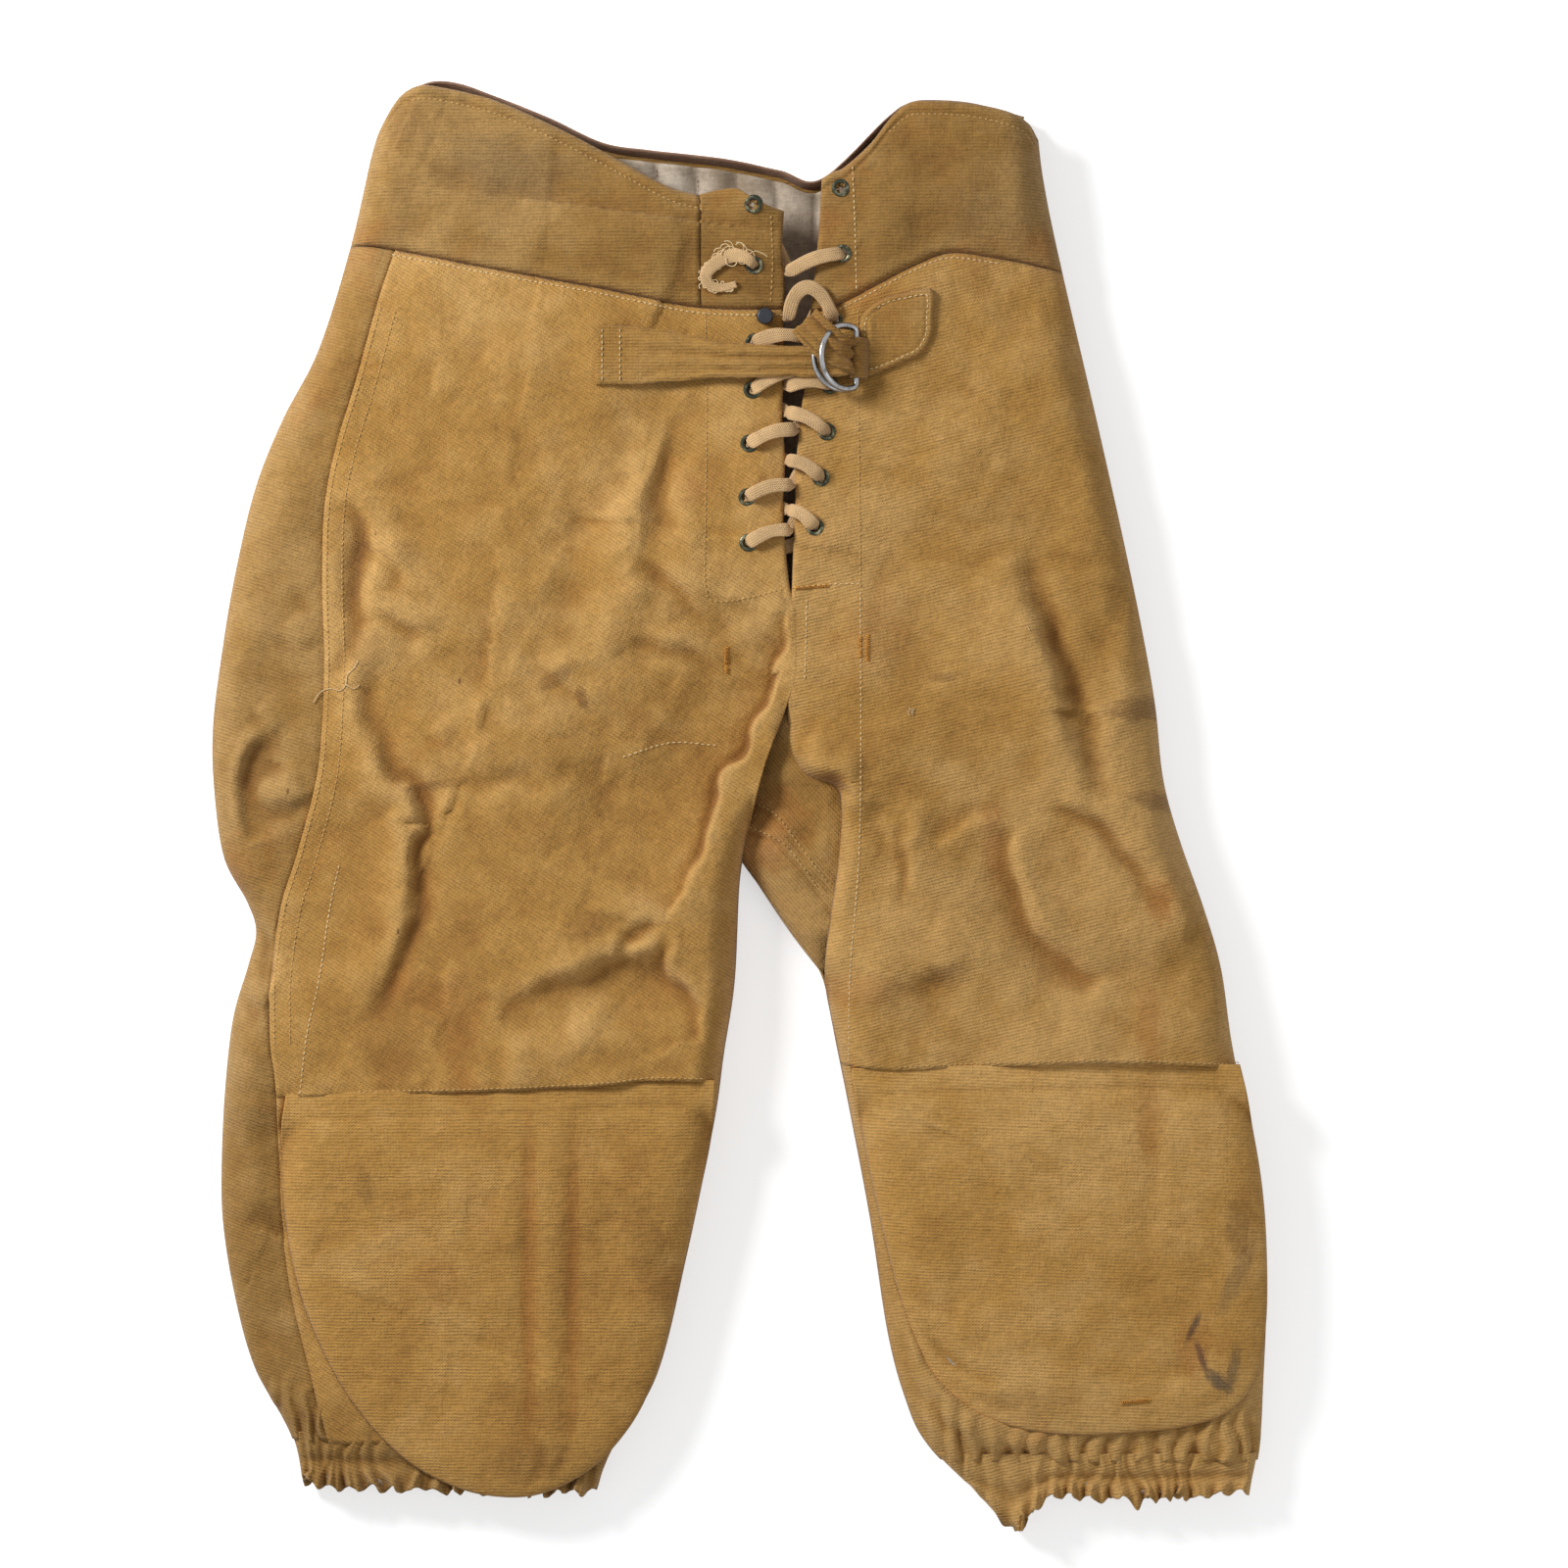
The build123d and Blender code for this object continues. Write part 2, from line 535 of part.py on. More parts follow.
def lobe(seam, rim, bottom, height, inset=0.0, rounded=0.0):
    """Block over the knee pocket's outline: a straight seam across the top and one rounded rim."""
    corners = seam + rim[::-1]
    radii = arc_radii(corners[-1:] + corners + corners[:1])
    radii[:2] = [SEAM_CORNER_R, SEAM_CORNER_R]
    with BuildPart() as block:
        with BuildSketch(Plane.XY.offset(bottom)):
            with BuildLine():
                FilletPolyline(*corners, radius=radii, close=True)
            make_face()
            if inset:
                offset(amount=-inset)
        extrude(amount=height)
        if rounded:
            fillet(block.edges().group_by(Axis.Z)[-1], rounded)
    return block


PAD_INSET = CANVAS + 2.0
pad_z = POCKET_FOOT + LINING + GAP
for side, seam, rim in (("right", KNEE_SEAM_RIGHT, KNEE_RIM_RIGHT), ("left", KNEE_SEAM_LEFT, KNEE_RIM_LEFT)):
    cavity = lobe(seam, rim, POCKET_FOOT, POCKET_H - CANVAS, inset=CANVAS).part
    knee_panel = lobe(seam, rim, POCKET_FOOT, POCKET_H, rounded=POCKET_ROUND)
    with BuildPart() as hollow_panel:
        add(knee_panel.part)
        add(cavity, mode=Mode.SUBTRACT)
    save(hollow_panel, f"knee_panel_{side}")
    save(lobe(seam, rim, POCKET_FOOT, LINING, inset=CANVAS + GAP), f"knee_lining_{side}")
    save(lobe(seam, rim, pad_z, KNEE_FELT, inset=PAD_INSET), f"knee_pad_{side}")

# ==== cuffs: a hem folded inward round an elastic band ===========================================
HEM_WALL = 2 * CANVAS + 2 * GAP + ELASTIC


def leg_ring(station, start, length, outside, inside):
    """Ring that carries on a leg's last station, between two depths below its surface."""
    y, left, right, height = station
    with BuildPart() as band:
        with BuildSketch(Plane.XZ.offset(-y + start)):
            with Locations(((left + right) / 2, height / 2)):
                SlotOverall(right - left - 2 * outside, height - 2 * outside)
                SlotOverall(right - left - 2 * inside, height - 2 * inside, mode=Mode.SUBTRACT)
        extrude(amount=length)
    return band


for side, stations in (("right", RIGHT_LEG_STATIONS), ("left", LEFT_LEG_STATIONS)):
    with BuildPart() as cuff:
        add(leg_ring(stations[-1], GAP, CUFF_LENGTH, 0, HEM_WALL).part)
        add(
            leg_ring(stations[-1], GAP, CUFF_LENGTH - HEM_FOLD, CANVAS, HEM_WALL - CANVAS).part,
            mode=Mode.SUBTRACT,
        )
    save(cuff, f"cuff_{side}")
    elastic_length = CUFF_LENGTH - HEM_FOLD - 2 * GAP
    elastic = leg_ring(stations[-1], 2 * GAP, elastic_length, CANVAS + GAP, CANVAS + GAP + ELASTIC)
    save(elastic, f"cuff_elastic_{side}")

# ==== bar tacks: short dense stitches over the seams' ends =======================================
TACK_T = 0.6
TACK_AIR = 0.05
FLAT_TACKS = [(-6.5, 74.5, 1.6, 11), (61, 81, 1.6, 9), (64.5, 81, 1.6, 9), (24.5, 104, 9, 1.6)]
knee_top_z = POCKET_FOOT + POCKET_H
with BuildPart() as bar_tacks:
    for x, y, across, along in FLAT_TACKS:
        with Locations((x, y, BODY_H + TACK_AIR)):
            Box(across, along, TACK_T, align=(Align.CENTER, Align.CENTER, Align.MIN))
    with Locations((200, -300, knee_top_z + TACK_AIR)):
        Box(13, 1.8, TACK_T, align=(Align.CENTER, Align.CENTER, Align.MIN))
save(bar_tacks, "bar_tacks")
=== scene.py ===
"""Laced canvas sports breeches, lying flat with the front up: cloth, stitching, lacing, buckle, plain studio.

Sizes in the lists below are millimetres in the part's own frame: X to the wearer's left, Y up to the waist,
Z up. The cloth isn't simulated: folds, padding and gathers are height fields and displacement.
"""

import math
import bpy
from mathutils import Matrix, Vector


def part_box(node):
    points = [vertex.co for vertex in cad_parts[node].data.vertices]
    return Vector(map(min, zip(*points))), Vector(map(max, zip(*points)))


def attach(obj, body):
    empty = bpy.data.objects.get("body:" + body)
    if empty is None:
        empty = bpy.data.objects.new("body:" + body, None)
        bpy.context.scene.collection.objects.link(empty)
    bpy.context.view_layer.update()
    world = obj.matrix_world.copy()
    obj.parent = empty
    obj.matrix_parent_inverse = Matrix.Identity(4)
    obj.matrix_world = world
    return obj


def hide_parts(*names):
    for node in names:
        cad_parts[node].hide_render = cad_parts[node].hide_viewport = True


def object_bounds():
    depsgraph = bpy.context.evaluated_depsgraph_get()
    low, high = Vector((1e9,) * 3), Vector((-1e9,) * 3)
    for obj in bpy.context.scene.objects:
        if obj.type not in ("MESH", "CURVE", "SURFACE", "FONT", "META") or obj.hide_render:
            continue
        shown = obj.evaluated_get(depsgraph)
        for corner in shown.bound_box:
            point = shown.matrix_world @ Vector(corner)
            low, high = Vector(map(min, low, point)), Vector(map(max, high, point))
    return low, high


bl_info = {
    "name": "Laced Canvas Breeches",
    "version": (1, 0, 0),
    "blender": (4, 5, 0),
    "location": "View3D > Sidebar > Breeches",
    "description": "Builds the cloth, stitching, lacing and buckle of laced canvas sports breeches on their packed frame",
    "category": "Object",
}

import bmesh
import bpy
import numpy as np
from bpy.props import FloatProperty, FloatVectorProperty, IntProperty, PointerProperty
from mathutils import Vector

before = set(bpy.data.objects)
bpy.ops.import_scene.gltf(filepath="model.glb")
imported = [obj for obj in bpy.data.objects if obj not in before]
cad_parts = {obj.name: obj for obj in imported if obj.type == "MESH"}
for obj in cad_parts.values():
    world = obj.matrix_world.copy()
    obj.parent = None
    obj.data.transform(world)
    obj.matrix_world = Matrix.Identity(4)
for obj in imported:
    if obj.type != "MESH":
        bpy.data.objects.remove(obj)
CAD_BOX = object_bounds()
MM = 0.001
LEFT_PANEL_FOOT = -331.0     # the left leg's front and back panels end here, under the cuff
PLEAT_PITCH = 10.5           # from one pleat of a gathered edge to the next

# ---- edges and seams of the garment ---------------------------------------------------------------
SIDE_Z = 11.0
OUTER_RIGHT = [(-172, 376), (-176, 362), (-186, 334), (-198, 283), (-214, 232), (-232, 197), (-246, 162),
               (-256, 120),
               (-262.5, 82), (-267.5, 42), (-267, 10), (-262, -25), (-250, -48), (-245.5, -63), (-249.5, -80),
               (-257, -106), (-261, -140), (-263, -175), (-262.5, -210), (-256, -250), (-246, -285),
               (-228, -318),
               (-222, -345)]
OUTER_LEFT = [(146, 376), (150, 352), (154, 320), (162, 280), (181, 198), (194, 140), (204, 92), (211, 52),
              (215, 15),
              (223, -15), (236, -52), (244.5, -82), (250, -120), (259, -165), (266, -210), (267.5, -250),
              (266, -290),
              (264, -325), (259, -350)]
INNER_RIGHT = [(22, 112), (19, 80), (10, 30), (4, -10), (0, -38), (-2.5, -88), (-8, -125), (-13, -160),
               (-27, -228),
               (-42, -288), (-64, -326), (-74, -352)]
INNER_LEFT = [(27, 112), (25, 80), (8, 20), (4, -12), (14, -40), (27, -64), (41, -84), (47, -110), (55, -150),
              (66, -208), (75, -266), (84, -300), (95, -323), (122, -350), (140, -368)]
HEM_PANEL_LEFT = [(25, 112), (25.5, 82), (24.5, 52), (24, 34), (33, 17), (48, 11), (51.5, 0), (49.5, -30),
                  (46, -54),
                  (43, -84), (47, -110), (55, -150), (66, -208), (75, -266), (84, -300), (95, -323),
                  (112, -341)]
OUTSEAM = [(-173.5, 281), (-183, 252), (-193, 215), (-203, 182), (-209, 150), (-210, 112), (-209, 70),
           (-212, 20),
           (-222, -20), (-231, -50), (-236, -85), (-236, -118), (-233, -145), (-229, -230), (-216, -290),
           (-206, -330)]
CENTRE_SEAM = [(25, 112), (25.5, 82), (15, 50), (6, 20), (4, -12)]
WAIST_SEAM_RIGHT = [(-240, 283), (-198, 284), (-173.5, 281), (-127.5, 272), (-70, 261.5), (-20, 252),
                    (24, 251)]
WAIST_SEAM_LEFT = [(34, 250), (42, 250.5), (55, 256), (72, 265), (87.5, 273), (105, 279.5), (130, 277),
                   (164, 271)]
WAIST_TOP_RIGHT = [(-190, 331), (-182, 345), (-173, 358), (-164, 363.5), (-154, 364), (-127, 358),
                   (-97, 345.5),
                   (-70, 332), (-37.5, 314), (-19, 308.5)]
WAIST_TOP_LEFT = [(41, 316.5), (46, 320), (53, 323), (66, 335), (76, 348), (85, 355.5), (96, 356.5),
                  (117.5, 355),
                  (142, 348.5), (150, 339), (154, 333)]
TAB_TOP = [(-20, 309), (-9, 311.5), (-1, 311.5), (6, 307), (13, 303.5), (22, 300.5)]
BACK_TOP = [(-188, 332), (-180, 350), (-168, 364), (-156, 368.5), (-143, 367.5), (-127, 362), (-97, 350),
            (-70, 337.5),
            (-45, 333.5), (-10, 329.5), (20, 323.5), (41.5, 319), (75, 350), (86, 357.5), (97, 359),
            (118, 357.5),
            (144, 350.5), (153, 336)]
FLY_EDGE_RIGHT = [(23, 320), (22.5, 300), (21.5, 282), (23, 262), (22, 245), (23, 225), (21.5, 200),
                  (23, 175),
                  (22, 150), (23.5, 128), (24, 110)]
FLY_EDGE_LEFT = [(42, 330), (41.5, 318), (40, 290), (37, 262), (35.8, 250), (33.5, 230), (32.5, 212),
                 (30, 190),
                 (28.5, 172), (28, 150), (27, 128), (26, 110)]
KNEE_EDGE_RIGHT = [(-240, -145.5), (-221, -145.5), (-193, -144.5), (-151, -143.5), (-118.5, -142.5),
                   (-69.6, -139.8),
                   (-46.4, -137.4), (-20.8, -137.8), (0, -138)]
KNEE_EDGE_LEFT = [(40, -128), (54, -130), (81, -132), (106, -130.9), (133, -129.9), (160, -129),
                  (186.5, -128.3),
                  (213, -129), (253, -131)]
KNEE_RIM_RIGHT = [(-12, -137), (-14, -165), (-20, -195), (-29, -235), (-38, -272), (-50, -304), (-68, -328),
                  (-86, -341), (-106, -348), (-128, -347.5), (-147, -342), (-167, -331), (-185, -314),
                  (-202, -291),
                  (-217, -260), (-226, -230), (-231, -195), (-231, -165), (-228, -143)]
KNEE_RIM_LEFT = [(252, -129), (258, -155), (264, -190), (266.5, -225), (266, -262), (260, -290), (246, -306),
                 (222, -313.5), (196, -316), (170, -317), (143, -314), (120, -306), (102, -292), (90, -272),
                 (79, -240), (68, -195), (60, -155), (56, -131)]
TAB_SEAM_X = -20.0
BODY_TOP_Z = 30.5
EYELETS_RIGHT = [(7, 303), (7.5, 273), (7.5, 234.5), (6.5, 210.5), (5, 183.5), (4, 156.5), (4.5, 133.5)]
EYELETS_LEFT = [(51, 312), (52, 279), (47.5, 246), (45.5, 213), (44, 189.5), (41, 166.5), (38, 141.5)]

# ---- lacing: the same route as the part's lace and its frayed tail ---------------------------------
OVER_Z, UNDER_Z = 35.2, 26.1


def through(place, upward):
    """The lace passes through the sheet here: two points of its route, one under the other."""
    under, over = (*place, UNDER_Z), (*place, OVER_Z)
    return [under, over] if upward else [over, under]


LACE_ROUTE = (
    [(12, 293, UNDER_Z), (19, 284, UNDER_Z)]
    + through((24.6, 269.5), True) + through(EYELETS_LEFT[1], False)
    + through((32.4, 237), True) + through(EYELETS_RIGHT[2], False)
    + through((24.3, 212), True) + through(EYELETS_LEFT[3], False)
    + through((28.2, 190.5), True) + through(EYELETS_RIGHT[4], False)
    + through((24.3, 175), True) + through(EYELETS_LEFT[5], False)
    + through((25.3, 140), True) + through(EYELETS_RIGHT[6], False)
    + [(16, 131, UNDER_Z), (28, 132, UNDER_Z)]
    + through(EYELETS_LEFT[6], True) + through((24.8, 150), False)
    + through(EYELETS_RIGHT[5], True) + through((26.2, 162.5), False)
    + through(EYELETS_LEFT[4], True) + through((24.3, 199), False)
    + through(EYELETS_RIGHT[3], True) + through((31.2, 220.5), False)
    + through(EYELETS_LEFT[2], True)
    + [(42, 258, OVER_Z + 1), (34, 263, OVER_Z + 1.6), (27, 257, OVER_Z + 1.2)]
    + through((24.6, 246), False) + [(*EYELETS_RIGHT[1], UNDER_Z), (*EYELETS_RIGHT[1], 33)]
)


def bowed(route):
    """Each stretch of lace on top of the cloth arches a little, up and along."""
    out = [route[0]]
    for a, b in zip(route, route[1:]):
        if a[2] == b[2] == OVER_Z:
            out.append(((a[0] + b[0]) / 2, (a[1] + b[1]) / 2 + 2.6, OVER_Z + 0.8))
        out.append(b)
    return out


LACE_ROUTE = bowed(LACE_ROUTE)
TAIL_ROUTE = [(7.5, 273, 33), (7.5, 273, 36.8), (3, 277, 38), (-4.5, 278, 36.4), (-12, 274, 35.4),
              (-17.5, 268.5, 34.8),
              (-15.5, 262.5, 34.4), (-8, 261, 34.2), (-1.5, 263.5, 34.2)]


# ==== settings =====================================================================================
class BreechesCloth(bpy.types.PropertyGroup):
    """Colours and make of the cloth."""

    canvas: FloatVectorProperty(
        name="Canvas", description="Usual colour of the canvas", subtype="COLOR",
        default=(0.447, 0.236, 0.056)
    )
    worn: FloatVectorProperty(
        name="Worn canvas", description="Colour where the canvas is rubbed", subtype="COLOR",
        default=(0.56, 0.325, 0.105),
    )
    # Colour of soil patches, and also of the painted shade in hollows, where the relief darkens the canvas
    soil_and_shade: FloatVectorProperty(
        name="Soiled canvas", description="Colour in hollows and smudges", subtype="COLOR",
        default=(0.27, 0.118, 0.024),
    )
    lining: FloatVectorProperty(
        name="Lining", description="Colour of the quilted lining", subtype="COLOR", default=(0.66, 0.56, 0.45)
    )
    thickness: FloatProperty(
        name="Thickness", description="Thickness of the canvas", unit="LENGTH", default=0.0012, min=0.0003
    )
    rib: FloatProperty(
        name="Rib pitch", description="Distance from one rib of the weave to the next", unit="LENGTH",
        default=0.0016, min=0.0003,
    )
    folds: FloatProperty(
        name="Folds", description="Height of folds and creases, as a share of their real height", default=1.3,
        min=0.0, max=2.0,
    )


class BreechesStitching(bpy.types.PropertyGroup):
    """Thread and stitch sizes."""

    pitch: FloatProperty(
        name="Pitch", description="Distance from one stitch to the next", unit="LENGTH", default=0.0028,
        min=0.0005
    )
    length: FloatProperty(
        name="Stitch", description="Length of a stitch that shows", unit="LENGTH", default=0.0021, min=0.0003
    )
    thread: FloatProperty(
        name="Thread", description="Thickness of the thread", unit="LENGTH", default=0.0008, min=0.0001
    )
    seed: IntProperty(name="Seed", description="Picks how uneven the stitches are", default=4)


class BreechesLace(bpy.types.PropertyGroup):
    """The flat lace."""

    width: FloatProperty(name="Width", description="Width of the flat lace", unit="LENGTH", default=0.007,
                         min=0.002)
    thickness: FloatProperty(
        name="Thickness", description="Thickness of the lace", unit="LENGTH", default=0.0013, min=0.0003
    )
    colour: FloatVectorProperty(
        name="Lace", description="Colour of the lace", subtype="COLOR", default=(0.76, 0.49, 0.235)
    )


class BreechesStage(bpy.types.PropertyGroup):
    """Floor, lamps and camera."""

    floor: FloatVectorProperty(
        name="Floor", description="Colour of the floor", subtype="COLOR", default=(0.9, 0.9, 0.9)
    )
    key: FloatProperty(name="Key", description="Power of the main lamp", unit="POWER", default=24.0, min=0.0)
    fill: FloatProperty(name="Fill", description="Power of the second lamp", unit="POWER", default=5.0,
                        min=0.0)
    field: FloatProperty(
        name="Field", description="Width that the camera sees at the floor", unit="LENGTH", default=0.8,
        min=0.1
    )


def settings(group):
    return getattr(bpy.context.scene, f"breeches_{group}")


# ==== lines and surfaces ============================================================================
def smooth(points, spacing=3.0):
    """Evenly spaced points along a smooth line through these."""
    p = np.array(points, float)
    q = np.vstack([2 * p[0] - p[1], p, 2 * p[-1] - p[-2]])
    t = np.linspace(0, 1, 24, endpoint=False)[:, None]
    spans = [
        0.5 * (2 * b + (c - a) * t + (2 * a - 5 * b + 4 * c - d) * t**2 + (3 * b - a - 3 * c + d) * t**3)
        for a, b, c, d in zip(q, q[1:], q[2:], q[3:])
    ]
    line = np.vstack(spans + [p[-1:]])
    return spaced(line, spacing)


def spaced(line, spacing):
    """The same line with evenly spaced points."""
    along = np.r_[0, np.cumsum(np.linalg.norm(np.diff(line, axis=0), axis=1))]
    steps = np.linspace(0, along[-1], max(2, round(along[-1] / spacing) + 1))
    return np.column_stack([np.interp(steps, along, line[:, k]) for k in range(line.shape[1])])


def x_along(points):
    """A line that runs up the garment, as x from y."""
    line = smooth(points, 1.5)
    line = line[np.argsort(line[:, 1])]
    return lambda y: np.interp(y, line[:, 1], line[:, 0])


def y_along(points):
    """A line that runs across the garment, as y from x."""
    line = smooth(points, 1.5)
    line = line[np.argsort(line[:, 0])]
    return lambda x: np.interp(x, line[:, 0], line[:, 1])


def beside(line, x, y):
    """Signed distance of each place from a line, positive on its right as it runs, and its share of the way along."""
    best = np.full(x.shape, 1e9)
    side = np.zeros(x.shape)
    share = np.zeros(x.shape)
    for k, (a, b) in enumerate(zip(line, line[1:])):
        run = b[:2] - a[:2]
        length = max(run @ run, 1e-9)
        t = np.clip(((x - a[0]) * run[0] + (y - a[1]) * run[1]) / length, 0, 1)
        dx, dy = x - a[0] - t * run[0], y - a[1] - t * run[1]
        away = np.hypot(dx, dy)
        nearer = away < best
        best = np.where(nearer, away, best)
        side = np.where(nearer, dx * run[1] - dy * run[0], side)
        share = np.where(nearer, (k + t) / (len(line) - 1), share)
    return np.where(side < 0, -best, best), share


def ramp(value):
    t = np.clip(value, 0, 1)
    return t * t * (3 - 2 * t)


def rounded(distance, radius):
    """0 at an edge, and 1 from a radius inside it, along a quarter circle."""
    t = np.clip(distance / radius, 0, 1)
    return np.sqrt(np.clip(1 - (1 - t) ** 2, 0, 1))


def lumps(x, y, size, seed):
    """Smooth random unevenness, about -1 to 1, with lumps of that size."""
    rng = np.random.default_rng(seed)
    total = np.zeros(np.shape(x))
    for turn in (0.4, 1.7):
        grid = rng.standard_normal((96, 96))
        u = (x * math.cos(turn) - y * math.sin(turn)) / size + 480
        v = (x * math.sin(turn) + y * math.cos(turn)) / size + 480
        i, j = np.floor(u).astype(int), np.floor(v).astype(int)
        f, g = u - i, v - j
        f, g = f**3 * (f * (6 * f - 15) + 10), g**3 * (g * (6 * g - 15) + 10)
        i, j = i % 95, j % 95
        total = total + (grid[i, j] * (1 - f) + grid[i + 1, j] * f) * (1 - g) + (
            grid[i, j + 1] * (1 - f) + grid[i + 1, j + 1] * f
        ) * g
    return total * 0.6


def crumple(x, y, size, seed):
    """Thin creases between smooth patches of that size: 1 on a crease and 0 away from it."""
    return np.clip(1 - 2.6 * np.abs(lumps(x, y, size, seed)), 0, 1) ** 2


# A fold is (points, height, width, lean): a ridge, or a hollow if its height is below 0. Lean above 0 sinks the
# cloth on the line's right side, below 0 on its left.
FOLDS = [
    # right thigh
    ([(-204.7, 158.5), (-188.4, 151.5), (-180.2, 130.5), (-183.7, 111.9), (-186, 81.6), (-195.3, 58.4)], 3.2,
     6, 1.2),
    ([(-195.3, 70), (-190.7, 39.7), (-179, 14.1), (-167.4, 4.8), (-165.1, -6.8), (-169.7, -44.1),
      (-176.7, -72),
      (-190.7, -99.9)], 4.2, 5.5, -1.2),
    ([(-164, 1), (-152, 9), (-141.8, 14.1), (-118.5, 14.1), (-102.2, 15.3), (-86, 19)], -2.2, 5, 0),
    ([(-188.4, 142.2), (-167.4, 123.5), (-165.1, 107.3)], 2.2, 4.5, 1),
    ([(-186, 104.9), (-165.1, 95.6), (-153, 90)], 2.2, 4.5, 1),
    ([(-46, 212), (-52, 190), (-62, 168), (-72, 152), (-80, 135.2), (-84, 107.3), (-81, 78)], -4.6, 11, 0),
    ([(-31, 215), (-44, 181.7), (-57, 137), (-55.7, 114.2), (-60, 78)], 3.4, 8.5, -0.6),
    ([(-57, 136), (-34.7, 121.2), (-18.4, 107.3), (-8, 96)], 2.7, 5, 1),
    ([(-55, 88.6), (-34.7, 86.3), (-20.8, 81.6), (-9.1, 71)], 2.3, 5, 1),
    ([(-62, 140), (-84, 122), (-100, 118), (-122, 120)], 1.4, 9, 0),
    ([(-34, -60), (-48.7, -72), (-53, -80)], 3.6, 5, 1),
    ([(-33, -79), (-65, -87), (-90.6, -92.9), (-120, -107)], -4.4, 7.5, 0.4),
    ([(-40, -68), (-68, -74), (-98, -78)], 1.6, 8, 0),
    ([(-99.9, 74.7), (-85.9, 67.7), (-76.6, 51.4)], 1.5, 3.5, 0.8),
    ([(-153.4, 41), (-144, 35)], 1.4, 3, 0.6),
    ([(-95.2, 16.5), (-67.3, 11.8), (-56, 0)], -1.7, 6, 0),
    ([(-109.2, -112), (-114, -130), (-112, -143)], 1.6, 5, 0.7),
    ([(-81.3, -104), (-78, -125)], 1.4, 5, 0.5),
    ([(-63, 200), (-70, 225), (-78, 246)], 1.2, 9, 0),
    ([(-43, 188), (-37, 212), (-36, 236)], -1.4, 6, 0),
    ([(-28, 120), (-24, 150), (-25, 180)], 1.3, 5, 0),
    ([(-38, 114), (-40, 150), (-33, 190), (-30, 215)], -1.3, 5, 0),
    ([(-140, -40), (-120, 0), (-108, 50)], 0.9, 18, 0),
    # outer side of the right leg
    ([(-228, 36), (-240, 28), (-248.9, 14), (-247, 2), (-243, -16)], -4.2, 5, 0.8),
    ([(-243, 10), (-229, 5), (-216, 8)], 3.0, 5, 0.9),
    ([(-252, -54), (-243, -66), (-240, -92)], -3.6, 5, -0.7),
    ([(-258, -84), (-247, -92), (-238, -98)], 2.8, 4.5, 0.9),
    ([(-226, 94), (-217, 80)], 1.6, 4, 0.7),
    ([(-242, 52), (-231, 39)], 1.6, 4, 0.7),
    ([(-236, 130), (-222, 150), (-214, 178)], 1.2, 8, 0),
    ([(-250, -120), (-243, -180), (-240, -230)], 2.4, 9, 0),
    ([(-240, -200), (-244, -250), (-236, -300)], -2.2, 7, 0),
    # crotch and the foot of the fly
    ([(24, 104), (12, 92), (-3, 84)], 1.4, 6, 0),
    ([(21, 64), (26, 44), (25, 30), (34, 21)], -2.4, 5, 0.6),
    ([(30, 26), (40, 22), (52, 18), (58, 8), (54, 0)], 5.2, 5, 1.1),
    ([(40, 33), (58, 24), (66, 8)], -2.0, 6, 0),
    ([(36, 80), (33, 60), (38, 44)], 1.2, 6, 0),
    # left thigh
    ([(132, 126), (140.6, 98.7), (150.1, 75.8), (159.7, 50.9), (165.5, 26), (171, 2)], 5.0, 8, -1.3),
    ([(163, 8), (172, 3), (186.5, -4.6), (198, -18), (207.6, -27.6), (213.3, -39), (222, -50)], 3.6, 5.5,
     1.3),
    ([(134, -8), (135.8, -35.2), (140.6, -52.4), (150.1, -69.7), (165.5, -79.2), (184, -88)], -4.6, 6, -0.9),
    ([(83, 0), (88.9, -16.1), (90, -42)], 2.4, 5, 1),
    ([(69, -6), (76, -14), (84, -24)], 1.8, 5, 1),
    ([(144.4, -77.3), (178.9, -84), (217.1, -86), (249, -78)], -2.8, 9, 0),
    ([(60, -102), (79.3, -86.9), (94.7, -79.2), (116, -70)], 2.2, 8, 0.6),
    ([(136, -14), (117.6, -9), (100, -18)], 1.6, 5, 0.8),
    ([(196, 116), (184.6, 83.4), (176, 50)], -2.6, 8, 0),
    ([(207, 62), (190, 40), (184, 12)], 1.5, 8, 0),
    ([(220, -66), (230, -52), (238, -36)], 1.6, 6, 0.7),
    ([(112, 60), (96, 30), (90, 8)], 1.2, 14, 0),
    ([(128, 0), (112, 30), (110, 60)], -1.0, 12, 0),
    ([(168, -92), (172, -110), (170, -126)], 1.4, 6, 0),
    ([(190, -92), (196, -112), (194, -126)], -1.2, 6, 0),
    ([(66, -60), (70, -90), (66, -122)], 1.2, 7, 0),
    ([(108, 150), (118, 172), (121, 205)], 1.1, 12, 0),
    ([(78, -252), (92, -282), (112, -308), (140, -330)], 3.0, 6, 1.0),
    ([(76, -262), (86, -292), (100, -322), (118, -345)], 2.2, 5, 1.0),
    ([(128, -318), (146, -322), (170, -334)], 2.4, 4.5, 1.0),
    ([(230, -318), (240, -326), (246, -338)], 2.0, 4.5, 1.0),
    ([(88, 232), (104, 242), (130, 250)], 1.2, 10, 0),
    # waist
    ([(-172, 300), (-110, 318), (-60, 302)], -1.1, 12, 0),
    ([(-40, 252), (-34, 275), (-38, 300)], 1.2, 5, 0.5),
    ([(64, 262), (80, 292), (78, 330)], 1.2, 8, 0),
    ([(110, 284), (106, 312), (112, 340)], 1.0, 10, 0),
    ([(135, 281), (143, 300), (140, 330)], 1.3, 8, 0),
]
